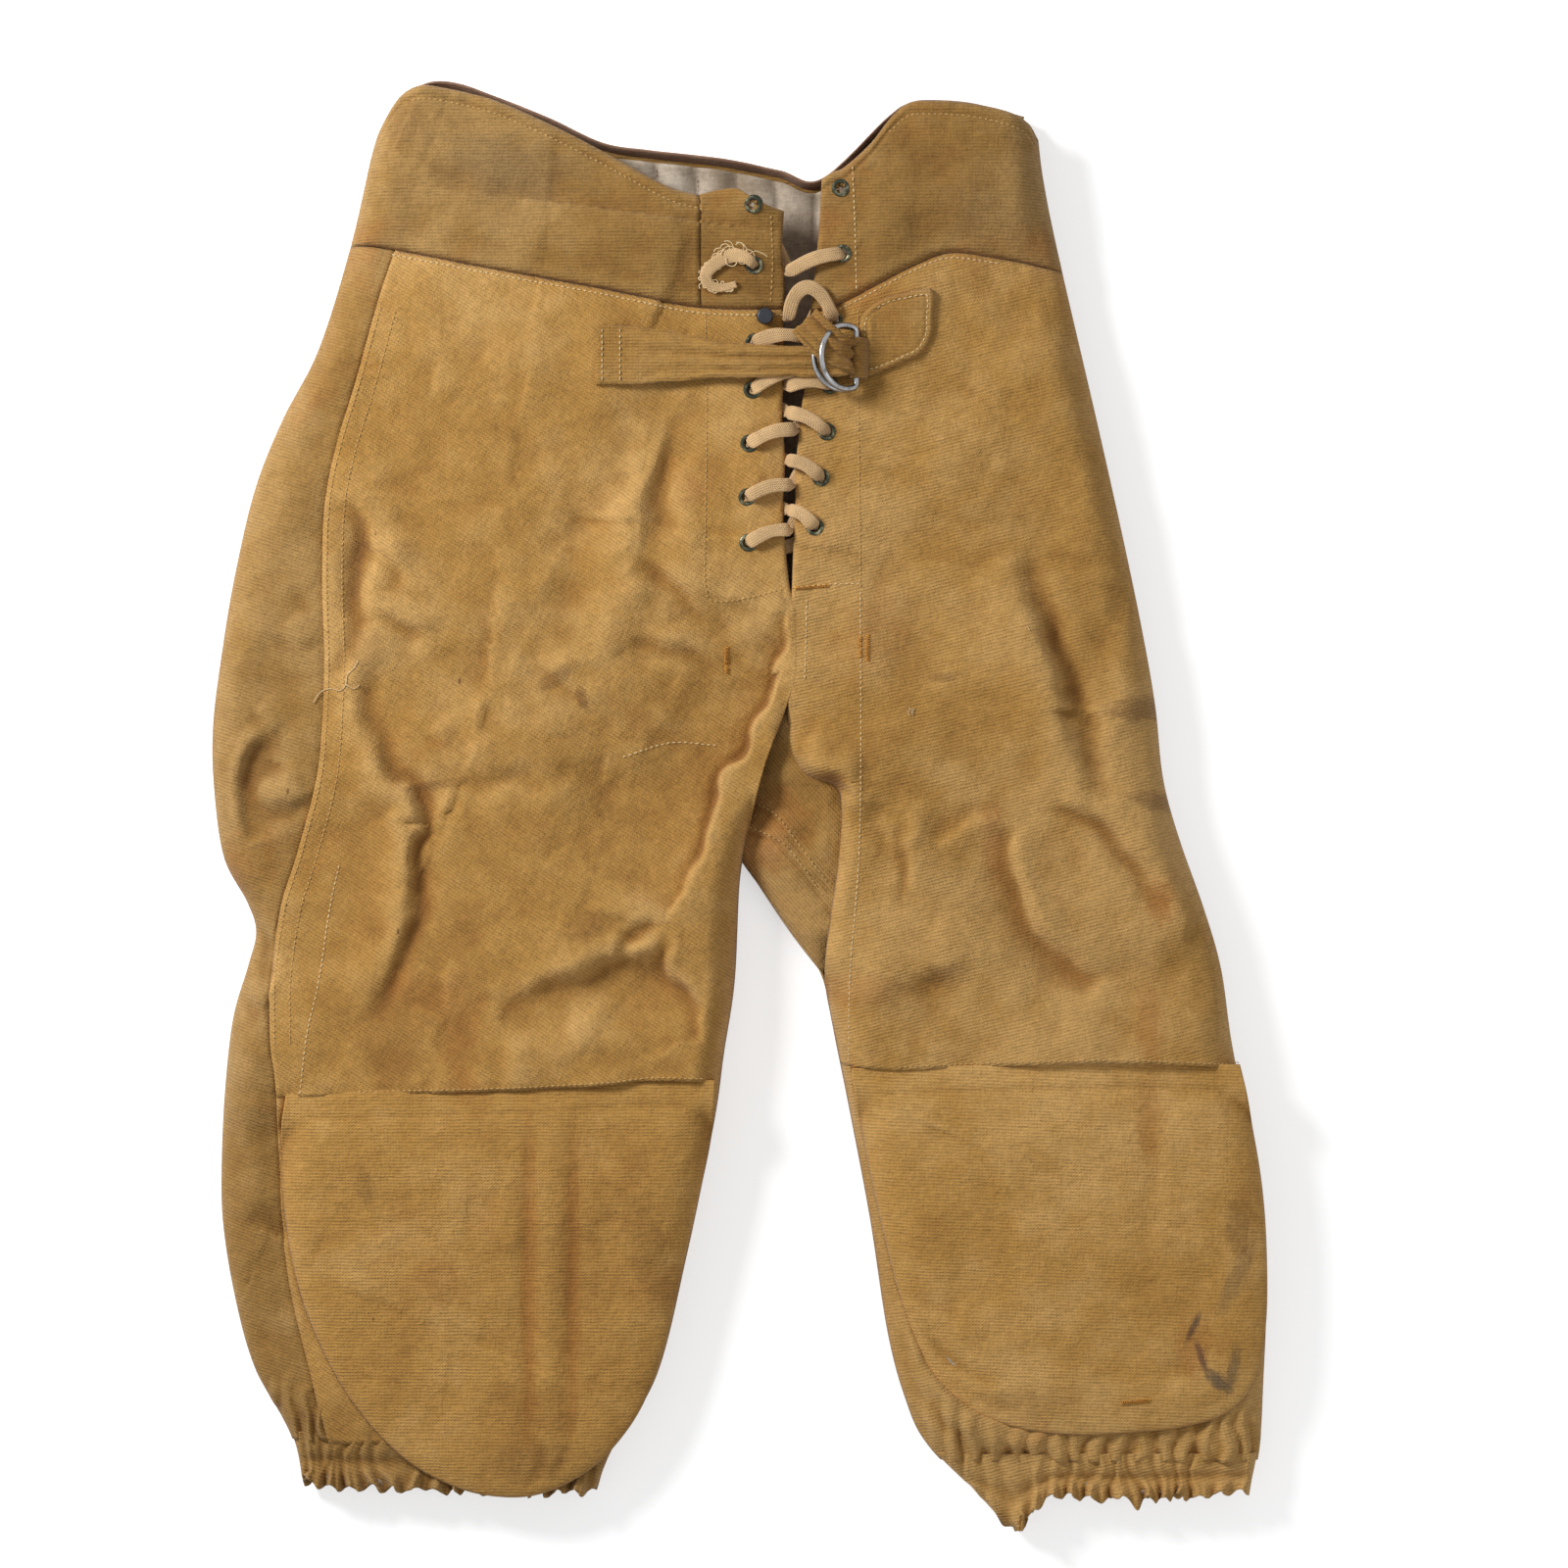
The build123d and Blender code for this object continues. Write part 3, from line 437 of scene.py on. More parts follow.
# A step is (points, drop, width, reach): the cloth on the line's right lies lower, and comes back up by its reach.
STEPS = [
    ([(26, 96), (19, 74), (12, 49), (0.2, 25.8), (-11.4, 2.5), (-20.8, -23.1), (-32.4, -53.4)], -9.5, 3.2,
     60),
    ([(-34, -58), (-35, -66), (-32.4, -81.3), (-25.4, -97.6), (-18.4, -116)], -6.5, 6, 34),
]
GROOVES = [WAIST_SEAM_RIGHT, WAIST_SEAM_LEFT]


def taper(share):
    return np.clip(np.sin(np.pi * np.clip(share, 0, 1)), 0, 1) ** 0.6


_prepared = {}


def prepared(key, entries):
    """The smooth lines of a list of folds, worked out once."""
    if key not in _prepared:
        _prepared[key] = [(smooth(e[0], 4.0),) + tuple(e[1:]) for e in entries]
    return _prepared[key]


def folded(x, y):
    """Height that folds, creases and soft unevenness add to the front of the garment."""
    wx = x + 2.2 * lumps(x, y, 14, 11)
    wy = y + 2.2 * lumps(x, y, 14, 12)
    z = np.zeros(x.shape)
    for line, height, width, lean in prepared("folds", FOLDS):
        low, high = line.min(0) - 5 * width, line.max(0) + 5 * width
        near = (wx > low[0]) & (wx < high[0]) & (wy > low[1]) & (wy < high[1])
        if not near.any():
            continue
        d, share = beside(line, wx[near], wy[near])
        s = d / width
        if lean:
            s = s * math.copysign(1, lean)
            shape = np.exp(-((s / np.where(s > 0, 0.95,
                                           2.5)) ** 2)) - abs(lean) * 0.5 * np.exp(-(((s - 1.5) / 0.9) ** 2))
        else:
            shape = np.exp(-((s / 1.5) ** 2))
        z[near] += height * taper(share) * shape
    for line, drop, width, reach in prepared("steps", STEPS):
        d, share = beside(line, wx, wy)
        z += drop * taper(share) * ramp((d + width / 2) / width) * np.exp(-(np.clip(d, 0, None) / reach) ** 2)
    z += 1.3 * lumps(x, y, 58, 1) + 0.8 * lumps(x, y, 27,
                                                2) + 0.26 * lumps(x, y, 11, 3) + 0.06 * lumps(x, y, 5, 4)
    busy = ramp(0.5 + 0.6 * lumps(x, y, 70, 5))
    z -= busy * (0.4 * crumple(x, y, 36, 6) + 0.22 * crumple(x, y, 17, 7))
    return z * settings("cloth").folds


outer_right, outer_left = x_along(OUTER_RIGHT), x_along(OUTER_LEFT)
inner_right, inner_left = x_along(INNER_RIGHT), x_along(INNER_LEFT)
panel_left_edge = x_along(HEM_PANEL_LEFT)


def top_height(y):
    """Height of the front of the garment at its middle, down its length."""
    return np.interp(
        y, [-370, -340, -300, -200, -165, -150, -138, -122, -95, -40, 60, 250, 290, 376],
        [15, 19, 23.5, 25, 27, 33.5, 35.0, 34.8, 32.5, 30.8, BODY_TOP_Z, BODY_TOP_Z, 31, 31],
    )


def front(x, y, side=0, level=0.0, edge=20.0):
    """Height of the front sheet. Side is -1 on the right leg and 1 on the left, so that its inner edge rounds down."""
    out = np.minimum(x - outer_right(y), outer_left(y) - x)
    shape = rounded(out, edge)
    if side:
        inner = inner_right(y) - x if side < 0 else x - inner_left(y)
        fade = ramp((10 - y) / 40)
        shape = shape * (1 + fade * (rounded(inner, 15) - 1))
        out = np.minimum(out, np.where(fade > 0, inner + 60 * (1 - fade), out))
    z = SIDE_Z + (top_height(y) - SIDE_Z + level) * shape
    z = z + folded(x, y) * ramp(out / 14)
    for groove in prepared("grooves", [(g,) for g in GROOVES]):
        line = groove[0]
        low, high = line.min(0) - 8, line.max(0) + 8
        near = (x > low[0]) & (x < high[0]) & (y > low[1]) & (y < high[1])
        if near.any():
            d, _ = beside(line, x[near], y[near])
            z[near] += 0.7 * np.exp(-(((d + 4) / 3.2) ** 2)) - 1.1 * np.exp(-((d / 1.5) ** 2))
    return z


def rear(x, y, side=0):
    """Height of the back sheet, flat on the floor and curving up to the side seams."""
    out = np.minimum(x - outer_right(y), outer_left(y) - x)
    shape = rounded(out, 20)
    if side:
        inner = inner_right(y) - x if side < 0 else x - inner_left(y)
        fade = ramp((10 - y) / 40)
        shape = shape * (1 + fade * (rounded(inner, 15) - 1))
    return SIDE_Z * (1 - shape) + 0.6 * shape + 0.5 * np.abs(lumps(x, y, 40, 21)) * shape


def evenly(count, ends):
    """Shares from 0 to 1, closer together at the ends that are named."""
    t = np.linspace(0, 1, count)
    low, high = "low" in ends, "high" in ends
    if low and high:
        return 0.35 * t + 0.65 * (0.5 - 0.5 * np.cos(np.pi * t))
    if low:
        return 0.35 * t + 0.65 * (1 - np.cos(np.pi * t / 2))
    if high:
        return 0.35 * t + 0.65 * np.sin(np.pi * t / 2)
    return t


def patch(left, right, bottom, top, step=1.9, close=(), rows=()):
    """Places on a four-sided panel: arrays of x and y, rows up and columns across."""
    ys = np.linspace(-370, 370, 149)
    wide = float(np.max(np.abs(right(ys) - left(ys))[(ys > bottom(left(ys))) & (ys < top(left(ys)))]))
    xm = 0.5 * (left(ys) + right(ys))
    tall = float(np.max(top(xm)) - np.min(bottom(xm)))
    u = evenly(int(wide / step) + 2, close)[None, :]
    v = evenly(int(tall / step) + 2, rows)[:, None]
    y = np.full((v.size, u.size), (float(np.mean(top(xm))) + float(np.mean(bottom(xm)))) / 2)
    for _ in range(14):
        x = left(y) + u * (right(y) - left(y))
        y = 0.5 * y + 0.5 * (bottom(x) + v * (top(x) - bottom(x)))
    return left(y) + u * (right(y) - left(y)), y


def quads(rows, columns, start=0, ring=False, flip=False):
    """Faces of a grid of points. A ring joins its last column to its first."""
    i, j = np.meshgrid(np.arange(rows - 1), np.arange(columns if ring else columns - 1), indexing="ij")
    k = (j + 1) % columns
    faces = np.stack([i * columns + j, i * columns + k, (i + 1) * columns + k, (i + 1) * columns + j], -1)
    faces = faces.reshape(-1, 4) + start
    return faces[:, ::-1] if flip else faces


def relief_of(z, reach=5):
    """How far each point of a grid stands over the points round it, in mm."""
    soft = z
    for axis in (0, 1):
        padded = np.concatenate(
            [np.repeat(soft.take([0], axis), reach, axis), soft,
             np.repeat(soft.take([-1], axis), reach, axis)], axis
        )
        total = np.cumsum(padded, axis)
        total = np.concatenate([np.zeros_like(total.take([0], axis)), total], axis)
        window = 2 * reach + 1
        soft = (total.take(range(window, total.shape[axis]),
                           axis) - total.take(range(total.shape[axis] - window), axis))
        soft = soft / window
    return z - soft


def make(name, points, faces, material, relief=None, uv=None):
    """A mesh piece from points in mm, with its place in its mesh."""
    mesh = bpy.data.meshes.new(name)
    mesh.from_pydata((np.asarray(points, float) * MM).tolist(), [], [list(map(int, f)) for f in faces])
    mesh.materials.append(material)
    mesh.shade_smooth()
    if relief is not None:
        attribute = mesh.attributes.new("relief", "FLOAT", "POINT")
        attribute.data.foreach_set("value", np.asarray(relief, np.float32).ravel())
    if uv is not None:
        layer = mesh.uv_layers.new(name="cloth")
        corners = np.zeros(len(mesh.loops), int)
        mesh.loops.foreach_get("vertex_index", corners)
        layer.data.foreach_set("uv", (np.asarray(uv, float)[corners]).astype(np.float32).ravel())
    piece = bpy.data.objects.new(name, mesh)
    bpy.context.scene.collection.objects.link(piece)
    return piece


def tidy_mesh(piece, within=1e-5):
    """Merges points that coincide and turns every face outwards."""
    bm = bmesh.new()
    bm.from_mesh(piece.data)
    bmesh.ops.remove_doubles(bm, verts=bm.verts, dist=within)
    bmesh.ops.recalc_face_normals(bm, faces=bm.faces)
    bm.to_mesh(piece.data)
    bm.free()
    return piece


def solid(piece, thickness, even=True):
    """Gives a sheet of cloth its thickness, inwards from its outer face."""
    wall = piece.modifiers.new("Thickness", "SOLIDIFY")
    wall.thickness = thickness * MM
    wall.offset = -1
    wall.use_even_offset = even
    wall.use_quality_normals = True
    return piece


def finish_piece(piece, slot, *nodes, body="garment"):
    """The piece stands for its CAD nodes and rides with the garment."""
    if nodes:
        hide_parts(*nodes)
    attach(piece, body)
    return piece


def grid_piece(name, grids, material, thickness):
    """One piece from grids of (x, y, z), each with its own relief, with the eyelets' holes through it."""
    points, faces, relief, start = [], [], [], 0
    for x, y, z, turned in grids:
        x, y = x.copy(), y.copy()
        inside = np.zeros(x.shape, bool)
        for hole in EYELETS_RIGHT + EYELETS_LEFT if not turned else ():
            away = np.hypot(x - hole[0], y - hole[1])
            near = (away < 3.1) & (z > 20)
            push = np.where(near & (away > 1.2), 3.1 / np.maximum(away, 0.1), 1.0)
            x, y = hole[0] + (x - hole[0]) * push, hole[1] + (y - hole[1]) * push
            inside |= near
        points.append(np.stack([x, y, z], -1).reshape(-1, 3))
        cells = quads(*x.shape, start=start, flip=turned)
        faces.append(cells[~inside.ravel()[cells - start].all(1)])
        relief.append(relief_of(z).ravel())
        start += x.size
    piece = make(name, np.vstack(points), np.vstack(faces), material, np.concatenate(relief))
    bm = bmesh.new()
    bm.from_mesh(piece.data)
    bmesh.ops.remove_doubles(bm, verts=bm.verts, dist=2e-4)
    bm.to_mesh(piece.data)
    bm.free()
    return solid(piece, thickness)


def flat_area(piece):
    """Area of a piece's outer face in square metres."""
    return sum(p.area for p in piece.data.polygons)


def declare_sheet(piece, width, length):
    """Takes a sheet's flat width and length in mm, which were estimated, not taken from a pattern, and works out the
    modelled piece's own area and, without a length, a length from that area; the results are not kept. The area is
    always the modelled piece's own, so the measured area share is no test of the size.
    """
    area = flat_area(piece)
    length = length or area / (width * MM * MM) / 0.97


def frames_along(path):
    """Tangents along a line of points."""
    run = np.gradient(path, axis=0)
    return run / np.maximum(np.linalg.norm(run, axis=1), 1e-9)[:, None]


def tube(path, radius, sides=8):
    """Points and faces of a round tube along a line of points, closed at both ends."""
    path = np.asarray(path, float)
    along = frames_along(path)
    radius = np.broadcast_to(np.asarray(radius, float), len(path))
    normal = np.cross(along[0], (0, 0, 1.0))
    if np.linalg.norm(normal) < 1e-3:
        normal = np.cross(along[0], (0, 1.0, 0))
    rings = []
    for p, t, r in zip(path, along, radius):
        normal = normal - t * (normal @ t)
        normal = normal / max(np.linalg.norm(normal), 1e-9)
        other = np.cross(t, normal)
        a = np.linspace(0, 2 * np.pi, sides, endpoint=False)[:, None]
        rings.append(p + r * (np.cos(a) * normal + np.sin(a) * other))
    points = np.vstack(rings + [path[:1], path[-1:]])
    n = len(path)
    faces = [list(f) for f in quads(n, sides, ring=True)]
    first, last = n * sides, n * sides + 1
    for k in range(sides):
        faces.append([first, (k + 1) % sides, k])
        faces.append([last, (n - 1) * sides + k, (n - 1) * sides + (k + 1) % sides])
    return points, faces


def joined(parts):
    """Several (points, faces) as one."""
    points, faces, start = [], [], 0
    for p, f in parts:
        points.append(p)
        faces += [[int(k) + start for k in g] for g in f]
        start += len(p)
    return np.vstack(points), faces


def nurbs_line(name, points):
    """A smooth NURBS line with the route's points as its control points, and the points read from it, in mm."""
    curve = bpy.data.curves.new(name, "CURVE")
    curve.dimensions = "3D"
    spline = curve.splines.new("NURBS")
    spline.points.add(len(points) - 1)
    for control, (x, y, z) in zip(spline.points, points):
        control.co = (x * MM, y * MM, z * MM, 1)
    spline.order_u = 3
    spline.use_endpoint_u = True
    spline.resolution_u = 12
    holder = bpy.data.objects.new(name, curve)
    bpy.context.scene.collection.objects.link(holder)
    bpy.context.view_layer.update()
    mesh = bpy.data.meshes.new_from_object(holder)
    line = np.array([v.co for v in mesh.vertices], float) / MM
    bpy.data.objects.remove(holder)
    bpy.data.meshes.remove(mesh)
    keep = np.r_[True, np.linalg.norm(np.diff(line, axis=0), axis=1) > 1e-3]
    return line[keep]


def ribbon(path, across, width, thickness, sides=14):
    """Points, faces and cloth coordinates of a flat band along a line of points."""
    along = frames_along(path)
    across = across - along * (across * along).sum(1)[:, None]
    across = across / np.maximum(np.linalg.norm(across, axis=1), 1e-6)[:, None]
    up = np.cross(along, across)
    a = np.linspace(0, 2 * np.pi, sides, endpoint=False)
    flat_x = np.sign(np.cos(a)) * np.abs(np.cos(a)) ** 0.6
    flat_z = np.sign(np.sin(a)) * np.abs(np.sin(a)) ** 0.75
    rings = (
        path[:, None]
        + across[:, None] * (flat_x[None, :, None] * np.asarray(width)[:, None, None] / 2)
        + up[:, None] * (flat_z[None, :, None] * np.asarray(thickness)[:, None, None] / 2)
    )
    travel = np.r_[0, np.cumsum(np.linalg.norm(np.diff(path, axis=0), axis=1))]
    uv = np.stack([np.broadcast_to(flat_x / 2 + 0.5, (len(path), sides)),
                   np.broadcast_to(travel[:, None] * 0.1, (len(path), sides))], -1)
    n = len(path)
    points = np.vstack([rings.reshape(-1, 3), path[:1], path[-1:]])
    faces = [list(f) for f in quads(n, sides, ring=True)]
    for k in range(sides):
        faces.append([n * sides, (k + 1) % sides, k])
        faces.append([n * sides + 1, (n - 1) * sides + k, (n - 1) * sides + (k + 1) % sides])
    return points, faces, np.vstack([uv.reshape(-1, 2), [[0.5, 0], [0.5, travel[-1] * 0.1]]])


def pillow(name, outline, rings, top, bottom, material, centre=None):
    """A closed piece over an outline: its upper and lower faces from the distance to the rim."""
    rim = spaced(np.vstack([outline, outline[:1]]), 3.0)[:-1]
    centre = rim.mean(0) if centre is None else np.array(centre, float)
    shares = 0.5 * np.linspace(0, 1, rings) + 0.5 * (1 - np.cos(np.linspace(0, np.pi / 2, rings)))
    closed = np.vstack([rim, rim[:1]])
    layers = []
    for share in shares[:-1]:
        layers.append(rim + (centre - rim) * share)
    flat = np.stack(layers)
    x, y = flat[..., 0], flat[..., 1]
    d = np.abs(beside(closed, x, y)[0])
    d[0] = 0
    high, low = top(x, y, d), bottom(x, y, d)
    n = rim.shape[0]
    points = [np.stack([x, y, high], -1).reshape(-1, 3), np.stack([x[1:], y[1:], low[1:]], -1).reshape(-1, 3)]
    centre_d = np.abs(beside(closed, centre[:1], centre[1:2])[0])
    tip = np.array([[centre[0], centre[1], float(top(centre[:1], centre[1:2], centre_d)[0])],
                    [centre[0], centre[1], float(bottom(centre[:1], centre[1:2], centre_d)[0])]])
    upper = quads(len(layers), n, ring=True)
    first = quads(2, n, ring=True).copy()
    first = np.where(first >= n, first - n + len(layers) * n, first)
    rest = quads(len(layers) - 1, n, start=len(layers) * n, ring=True)
    faces = [list(f) for f in upper] + [list(f)[::-1] for f in first] + [list(f)[::-1] for f in rest]
    total = len(layers) * n + (len(layers) - 1) * n
    for k in range(n):
        faces.append([(len(layers) - 1) * n + k, (len(layers) - 1) * n + (k + 1) % n, total])
        faces.append([total - n + (k + 1) % n, total - n + k, total + 1])
    relief = np.concatenate([relief_of(high, 4).ravel(), np.zeros(low[1:].size), [0, 0]])
    piece = make(name, np.vstack(points + [tip]), faces, material, relief)
    bm = bmesh.new()
    bm.from_mesh(piece.data)
    bmesh.ops.recalc_face_normals(bm, faces=bm.faces)
    bm.to_mesh(piece.data)
    bm.free()
    return piece


# ==== finishes ======================================================================================
def put(tree, kind, inputs=None, **properties):
    """Adds a node, sets its properties, and links or sets its inputs."""
    made = tree.nodes.new(kind)
    for name, value in properties.items():
        setattr(made, name, value)
    for key, value in (inputs or {}).items():
        if isinstance(value, bpy.types.NodeSocket):
            tree.links.new(value, made.inputs[key])
        else:
            made.inputs[key].default_value = value
    return made


def sums(tree, operation, a, b=0.0, clamp=False):
    return put(tree, "ShaderNodeMath", {0: a, 1: b}, operation=operation, use_clamp=clamp).outputs[0]


def between(tree, value, low, high, to_low=0.0, to_high=1.0):
    """Smooth step of a value between two limits."""
    made = put(
        tree, "ShaderNodeMapRange", {"Value": value, "From Min": low, "From Max": high, "To Min": to_low,
                                     "To Max": to_high},
        interpolation_type="SMOOTHSTEP",
    )
    return made.outputs["Result"]


def mixed(tree, share, a, b, blend="MIX"):
    made = put(tree, "ShaderNodeMix", data_type="RGBA", blend_type=blend)
    for key, value in ((0, share), (6, a), (7, b)):
        if isinstance(value, bpy.types.NodeSocket):
            tree.links.new(value, made.inputs[key])
        else:
            made.inputs[key].default_value = value
    return made.outputs[2]


def noise(tree, vector, scale, detail=3.0, rough=0.55):
    made = put(tree, "ShaderNodeTexNoise", {"Vector": vector, "Scale": scale, "Detail": detail,
                                            "Roughness": rough})
    return made.outputs["Fac"]


def turned(tree, vector, turn=0.0, scale=(1, 1, 1), place=(0, 0, 0)):
    return put(
        tree, "ShaderNodeMapping", {"Vector": vector, "Rotation": (0, 0, turn), "Scale": scale,
                                    "Location": place}
    ).outputs[0]


def effect(name, inputs, outputs):
    """An empty shader node group with named sockets."""
    tree = bpy.data.node_groups.new(name, "ShaderNodeTree")
    for label, kind, value in inputs:
        socket = tree.interface.new_socket(name=label, in_out="INPUT", socket_type=kind)
        if value is not None:
            socket.default_value = value
    for label in outputs:
        tree.interface.new_socket(name=label, in_out="OUTPUT", socket_type="NodeSocketFloat")
    return tree, tree.nodes.new("NodeGroupInput"), tree.nodes.new("NodeGroupOutput")


def weave_effect():
    """Ribs of the weave with uneven yarns: the height of the surface, and a shade that gives each yarn its own tone
    and paints the ribs' light and shade into the colour.
    """
    tree, given, result = effect(
        "duck_weave", [("Vector", "NodeSocketVector", None), ("Pitch", "NodeSocketFloat", 0.00125)],
        ["Height", "Shade"]
    )
    vector, pitch = given.outputs["Vector"], given.outputs["Pitch"]
    parts = put(tree, "ShaderNodeSeparateXYZ", {0: vector})
    rate = sums(tree, "DIVIDE", 2 * math.pi, pitch)
    waver = sums(tree, "MULTIPLY", sums(tree, "SUBTRACT", noise(tree, vector, 130.0, 3.0), 0.5), 5.0)
    across = sums(tree, "SINE", sums(tree, "ADD", sums(tree, "MULTIPLY", parts.outputs["X"], rate), waver))
    up = sums(tree, "SINE", sums(tree, "ADD", sums(tree, "MULTIPLY", parts.outputs["Y"], rate), waver))
    basket = sums(tree, "MULTIPLY", across, up)
    ribs = sums(tree, "ADD", sums(tree, "MULTIPLY", up, 0.6), sums(tree, "MULTIPLY", basket, 0.4))
    yarns = noise(tree, turned(tree, vector, scale=(170, 900, 170)), 1.0, 3.0)
    warps = noise(tree, turned(tree, vector, scale=(800, 260, 260)), 1.0, 3.0)
    uneven = sums(tree, "SUBTRACT", sums(tree, "ADD", yarns, sums(tree, "MULTIPLY", warps, 0.7)), 0.85)
    height = sums(tree, "ADD", sums(tree, "MULTIPLY", ribs, 0.45), sums(tree, "MULTIPLY", uneven, 1.5))
    grain = sums(tree, "SUBTRACT", noise(tree, vector, 900.0, 2.0, 0.6), 0.5)
    # partly yarn tone, partly painted shade: the ribs' light and dark is put into the colour
    shade = sums(tree, "ADD", sums(tree, "MULTIPLY", ribs, 0.2), sums(tree, "MULTIPLY", uneven, 0.5))
    shade = sums(tree, "ADD", shade, sums(tree, "MULTIPLY", grain, 0.5))
    tree.links.new(height, result.inputs["Height"])
    tree.links.new(shade, result.inputs["Shade"])
    return tree


def wear_soil_and_shade_effect():
    """Where cloth is rubbed pale, soiled in patches, darkened in its hollows as painted shade, and flecked with seed
    husks.
    """
    tree, given, result = effect(
        "wear_soil_and_shade", [("Vector", "NodeSocketVector", None), ("Relief", "NodeSocketFloat", 0.0)],
        ["Worn", "Soil and shade", "Fleck", "Smudge"],
    )
    vector, relief = given.outputs["Vector"], given.outputs["Relief"]
    broad = noise(tree, vector, 8.0, 6.0, 0.6)
    fine = noise(tree, turned(tree, vector, place=(3, 1, 0)), 38.0, 5.0, 0.65)
    patchy = sums(tree, "ADD", sums(tree, "MULTIPLY", broad, 0.65), sums(tree, "MULTIPLY", fine, 0.35))
    worn = sums(tree, "ADD", between(tree, patchy, 0.44, 0.62), sums(tree, "MULTIPLY", relief, 0.22),
                clamp=True)
    # painted shade: the relief darkens the hollows of the cloth, on top of the soil patches
    painted_crease_shade = sums(tree, "MULTIPLY", relief, -0.3)
    soil_and_shade = sums(tree, "ADD", between(tree, patchy, 0.47, 0.36, 0.0, 0.5), painted_crease_shade, clamp=True)
    seeds = put(
        tree, "ShaderNodeTexVoronoi",
        {"Vector": turned(tree, vector, turn=0.5, scale=(1, 0.45, 1)), "Scale": 95.0, "Randomness": 1.0},
    )
    chosen = between(tree, put(tree, "ShaderNodeSeparateXYZ", {0: seeds.outputs["Color"]}).outputs["X"],
                     0.86, 0.9)
    size = put(tree, "ShaderNodeSeparateXYZ", {0: seeds.outputs["Color"]}).outputs["Y"]
    spot = between(tree, sums(tree, "SUBTRACT", seeds.outputs["Distance"],
                              sums(tree, "MULTIPLY", size, 0.045)), 0.05, 0.0)
    smudge = between(tree, noise(tree, turned(tree, vector, place=(7, 2, 5)), 13.0, 4.0, 0.7), 0.57, 0.72)
    for label, value in (("Worn", worn), ("Soil and shade", soil_and_shade), ("Fleck", sums(tree, "MULTIPLY", chosen, spot)),
                         ("Smudge", smudge)):
        tree.links.new(value, result.inputs[label])
    return tree


def ragged_mark_effect():
    """A ragged mark, a stain or a painted shadow, round the origin of its vector: 1 inside its size, fading outwards.
    """
    tree, given, result = effect(
        "ragged_mark", [("Vector", "NodeSocketVector", None), ("Ragged", "NodeSocketFloat", 0.6)], ["Mask"]
    )
    vector = given.outputs["Vector"]
    reach = put(tree, "ShaderNodeVectorMath", {0: vector}, operation="LENGTH").outputs["Value"]
    torn = sums(tree, "MULTIPLY", sums(tree, "SUBTRACT", noise(tree, vector, 2.6, 6.0, 0.7), 0.5),
                given.outputs["Ragged"])
    edge = sums(tree, "ADD", reach, sums(tree, "MULTIPLY", torn, 3.0))
    tree.links.new(between(tree, edge, 1.05, 0.35), result.inputs["Mask"])
    return tree


_effects = {}


def placed(tree, name, inputs):
    if name not in _effects:
        _effects[name] = {"duck_weave": weave_effect, "wear_soil_and_shade": wear_soil_and_shade_effect,
                          "ragged_mark": ragged_mark_effect}[name]()
    made = tree.nodes.new("ShaderNodeGroup")
    made.node_tree = _effects[name]
    for key, value in inputs.items():
        if isinstance(value, bpy.types.NodeSocket):
            tree.links.new(value, made.inputs[key])
        else:
            made.inputs[key].default_value = value
    return made.outputs


def finish_named(name):
    """A new material, its node tree and its Principled shader."""
    material = bpy.data.materials.new(name)
    material.use_nodes = True
    tree = material.node_tree
    return material, tree, tree.nodes["Principled BSDF"]


def rgba(colour, share=1.0):
    return (*[c * share for c in colour[:3]], 1.0)


def bumped(tree, shader, height, distance, strength=1.0):
    bump = put(tree, "ShaderNodeBump", {"Height": height, "Distance": distance, "Strength": strength})
    tree.links.new(bump.outputs[0], shader.inputs["Normal"])


# Stains, and one painted shadow: (centre in mm, reach in mm across and along, turn in degrees, colour, strength)
BROWN, GREY, RUST = (0.13, 0.052, 0.016), (0.052, 0.055, 0.05), (0.36, 0.115, 0.02)
# The grey mark at (-196, 124) is a painted shadow on the low strip left of the raised step on the right thigh.
THIGH_MARKS_RIGHT = [((-92, 66), (16, 5), 32, BROWN, 0.4), ((-79, 55), (4, 8), 20, BROWN, 0.55),
                     ((-150, 12), (26, 3), 8, BROWN, 0.35), ((-188, 78), (10, 22), 5, BROWN, 0.25),
                     ((-76, -60), (18, 9), 20, BROWN, 0.3), ((-196, 124), (12, 30), 0, GREY, 0.16)]
THIGH_MARKS_LEFT = [((203, 50), (24, 8), 4, BROWN, 0.5), ((212, 3), (20, 6), -10, BROWN, 0.45),
                    ((212, -48), (10, 14), 10, RUST, 0.45), ((128, -18), (8, 30), 4, RUST, 0.35),
                    ((104, 66), (12, 3), 4, BROWN, 0.35), ((60, -92), (34, 10), 0, RUST, 0.28),
                    ((102, -84), (14, 7), 10, BROWN, 0.35), ((206, -110), (9, 26), 3, RUST, 0.35)]
KNEE_MARKS_RIGHT = [((-106, -236), (6, 96), 0, RUST, 0.34), ((-84, -240), (5, 92), 0, RUST, 0.3),
                    ((-44, -228), (14, 34), 20, BROWN, 0.22), ((-188, -192), (6, 12), 12, BROWN, 0.3),
                    ((-106, -330), (40, 12), 0, BROWN, 0.25)]
KNEE_MARKS_LEFT = [((229, -262), (2.5, 10), -24, GREY, 0.75), ((233, -277), (2.5, 11), 20, GREY, 0.8),
                   ((241, -289), (5, 9), 50, GREY, 0.7), ((249, -284), (4, 16), -10, GREY, 0.5),
                   ((230, -272), (14, 18), 0, RUST, 0.35), ((250, -238), (6, 26), -24, GREY, 0.3),
                   ((252, -210), (10, 18), 0, BROWN, 0.35),
                   ((206, -158), (9, 26), 3, RUST, 0.3), ((150, -300), (36, 10), 4, BROWN, 0.2)]
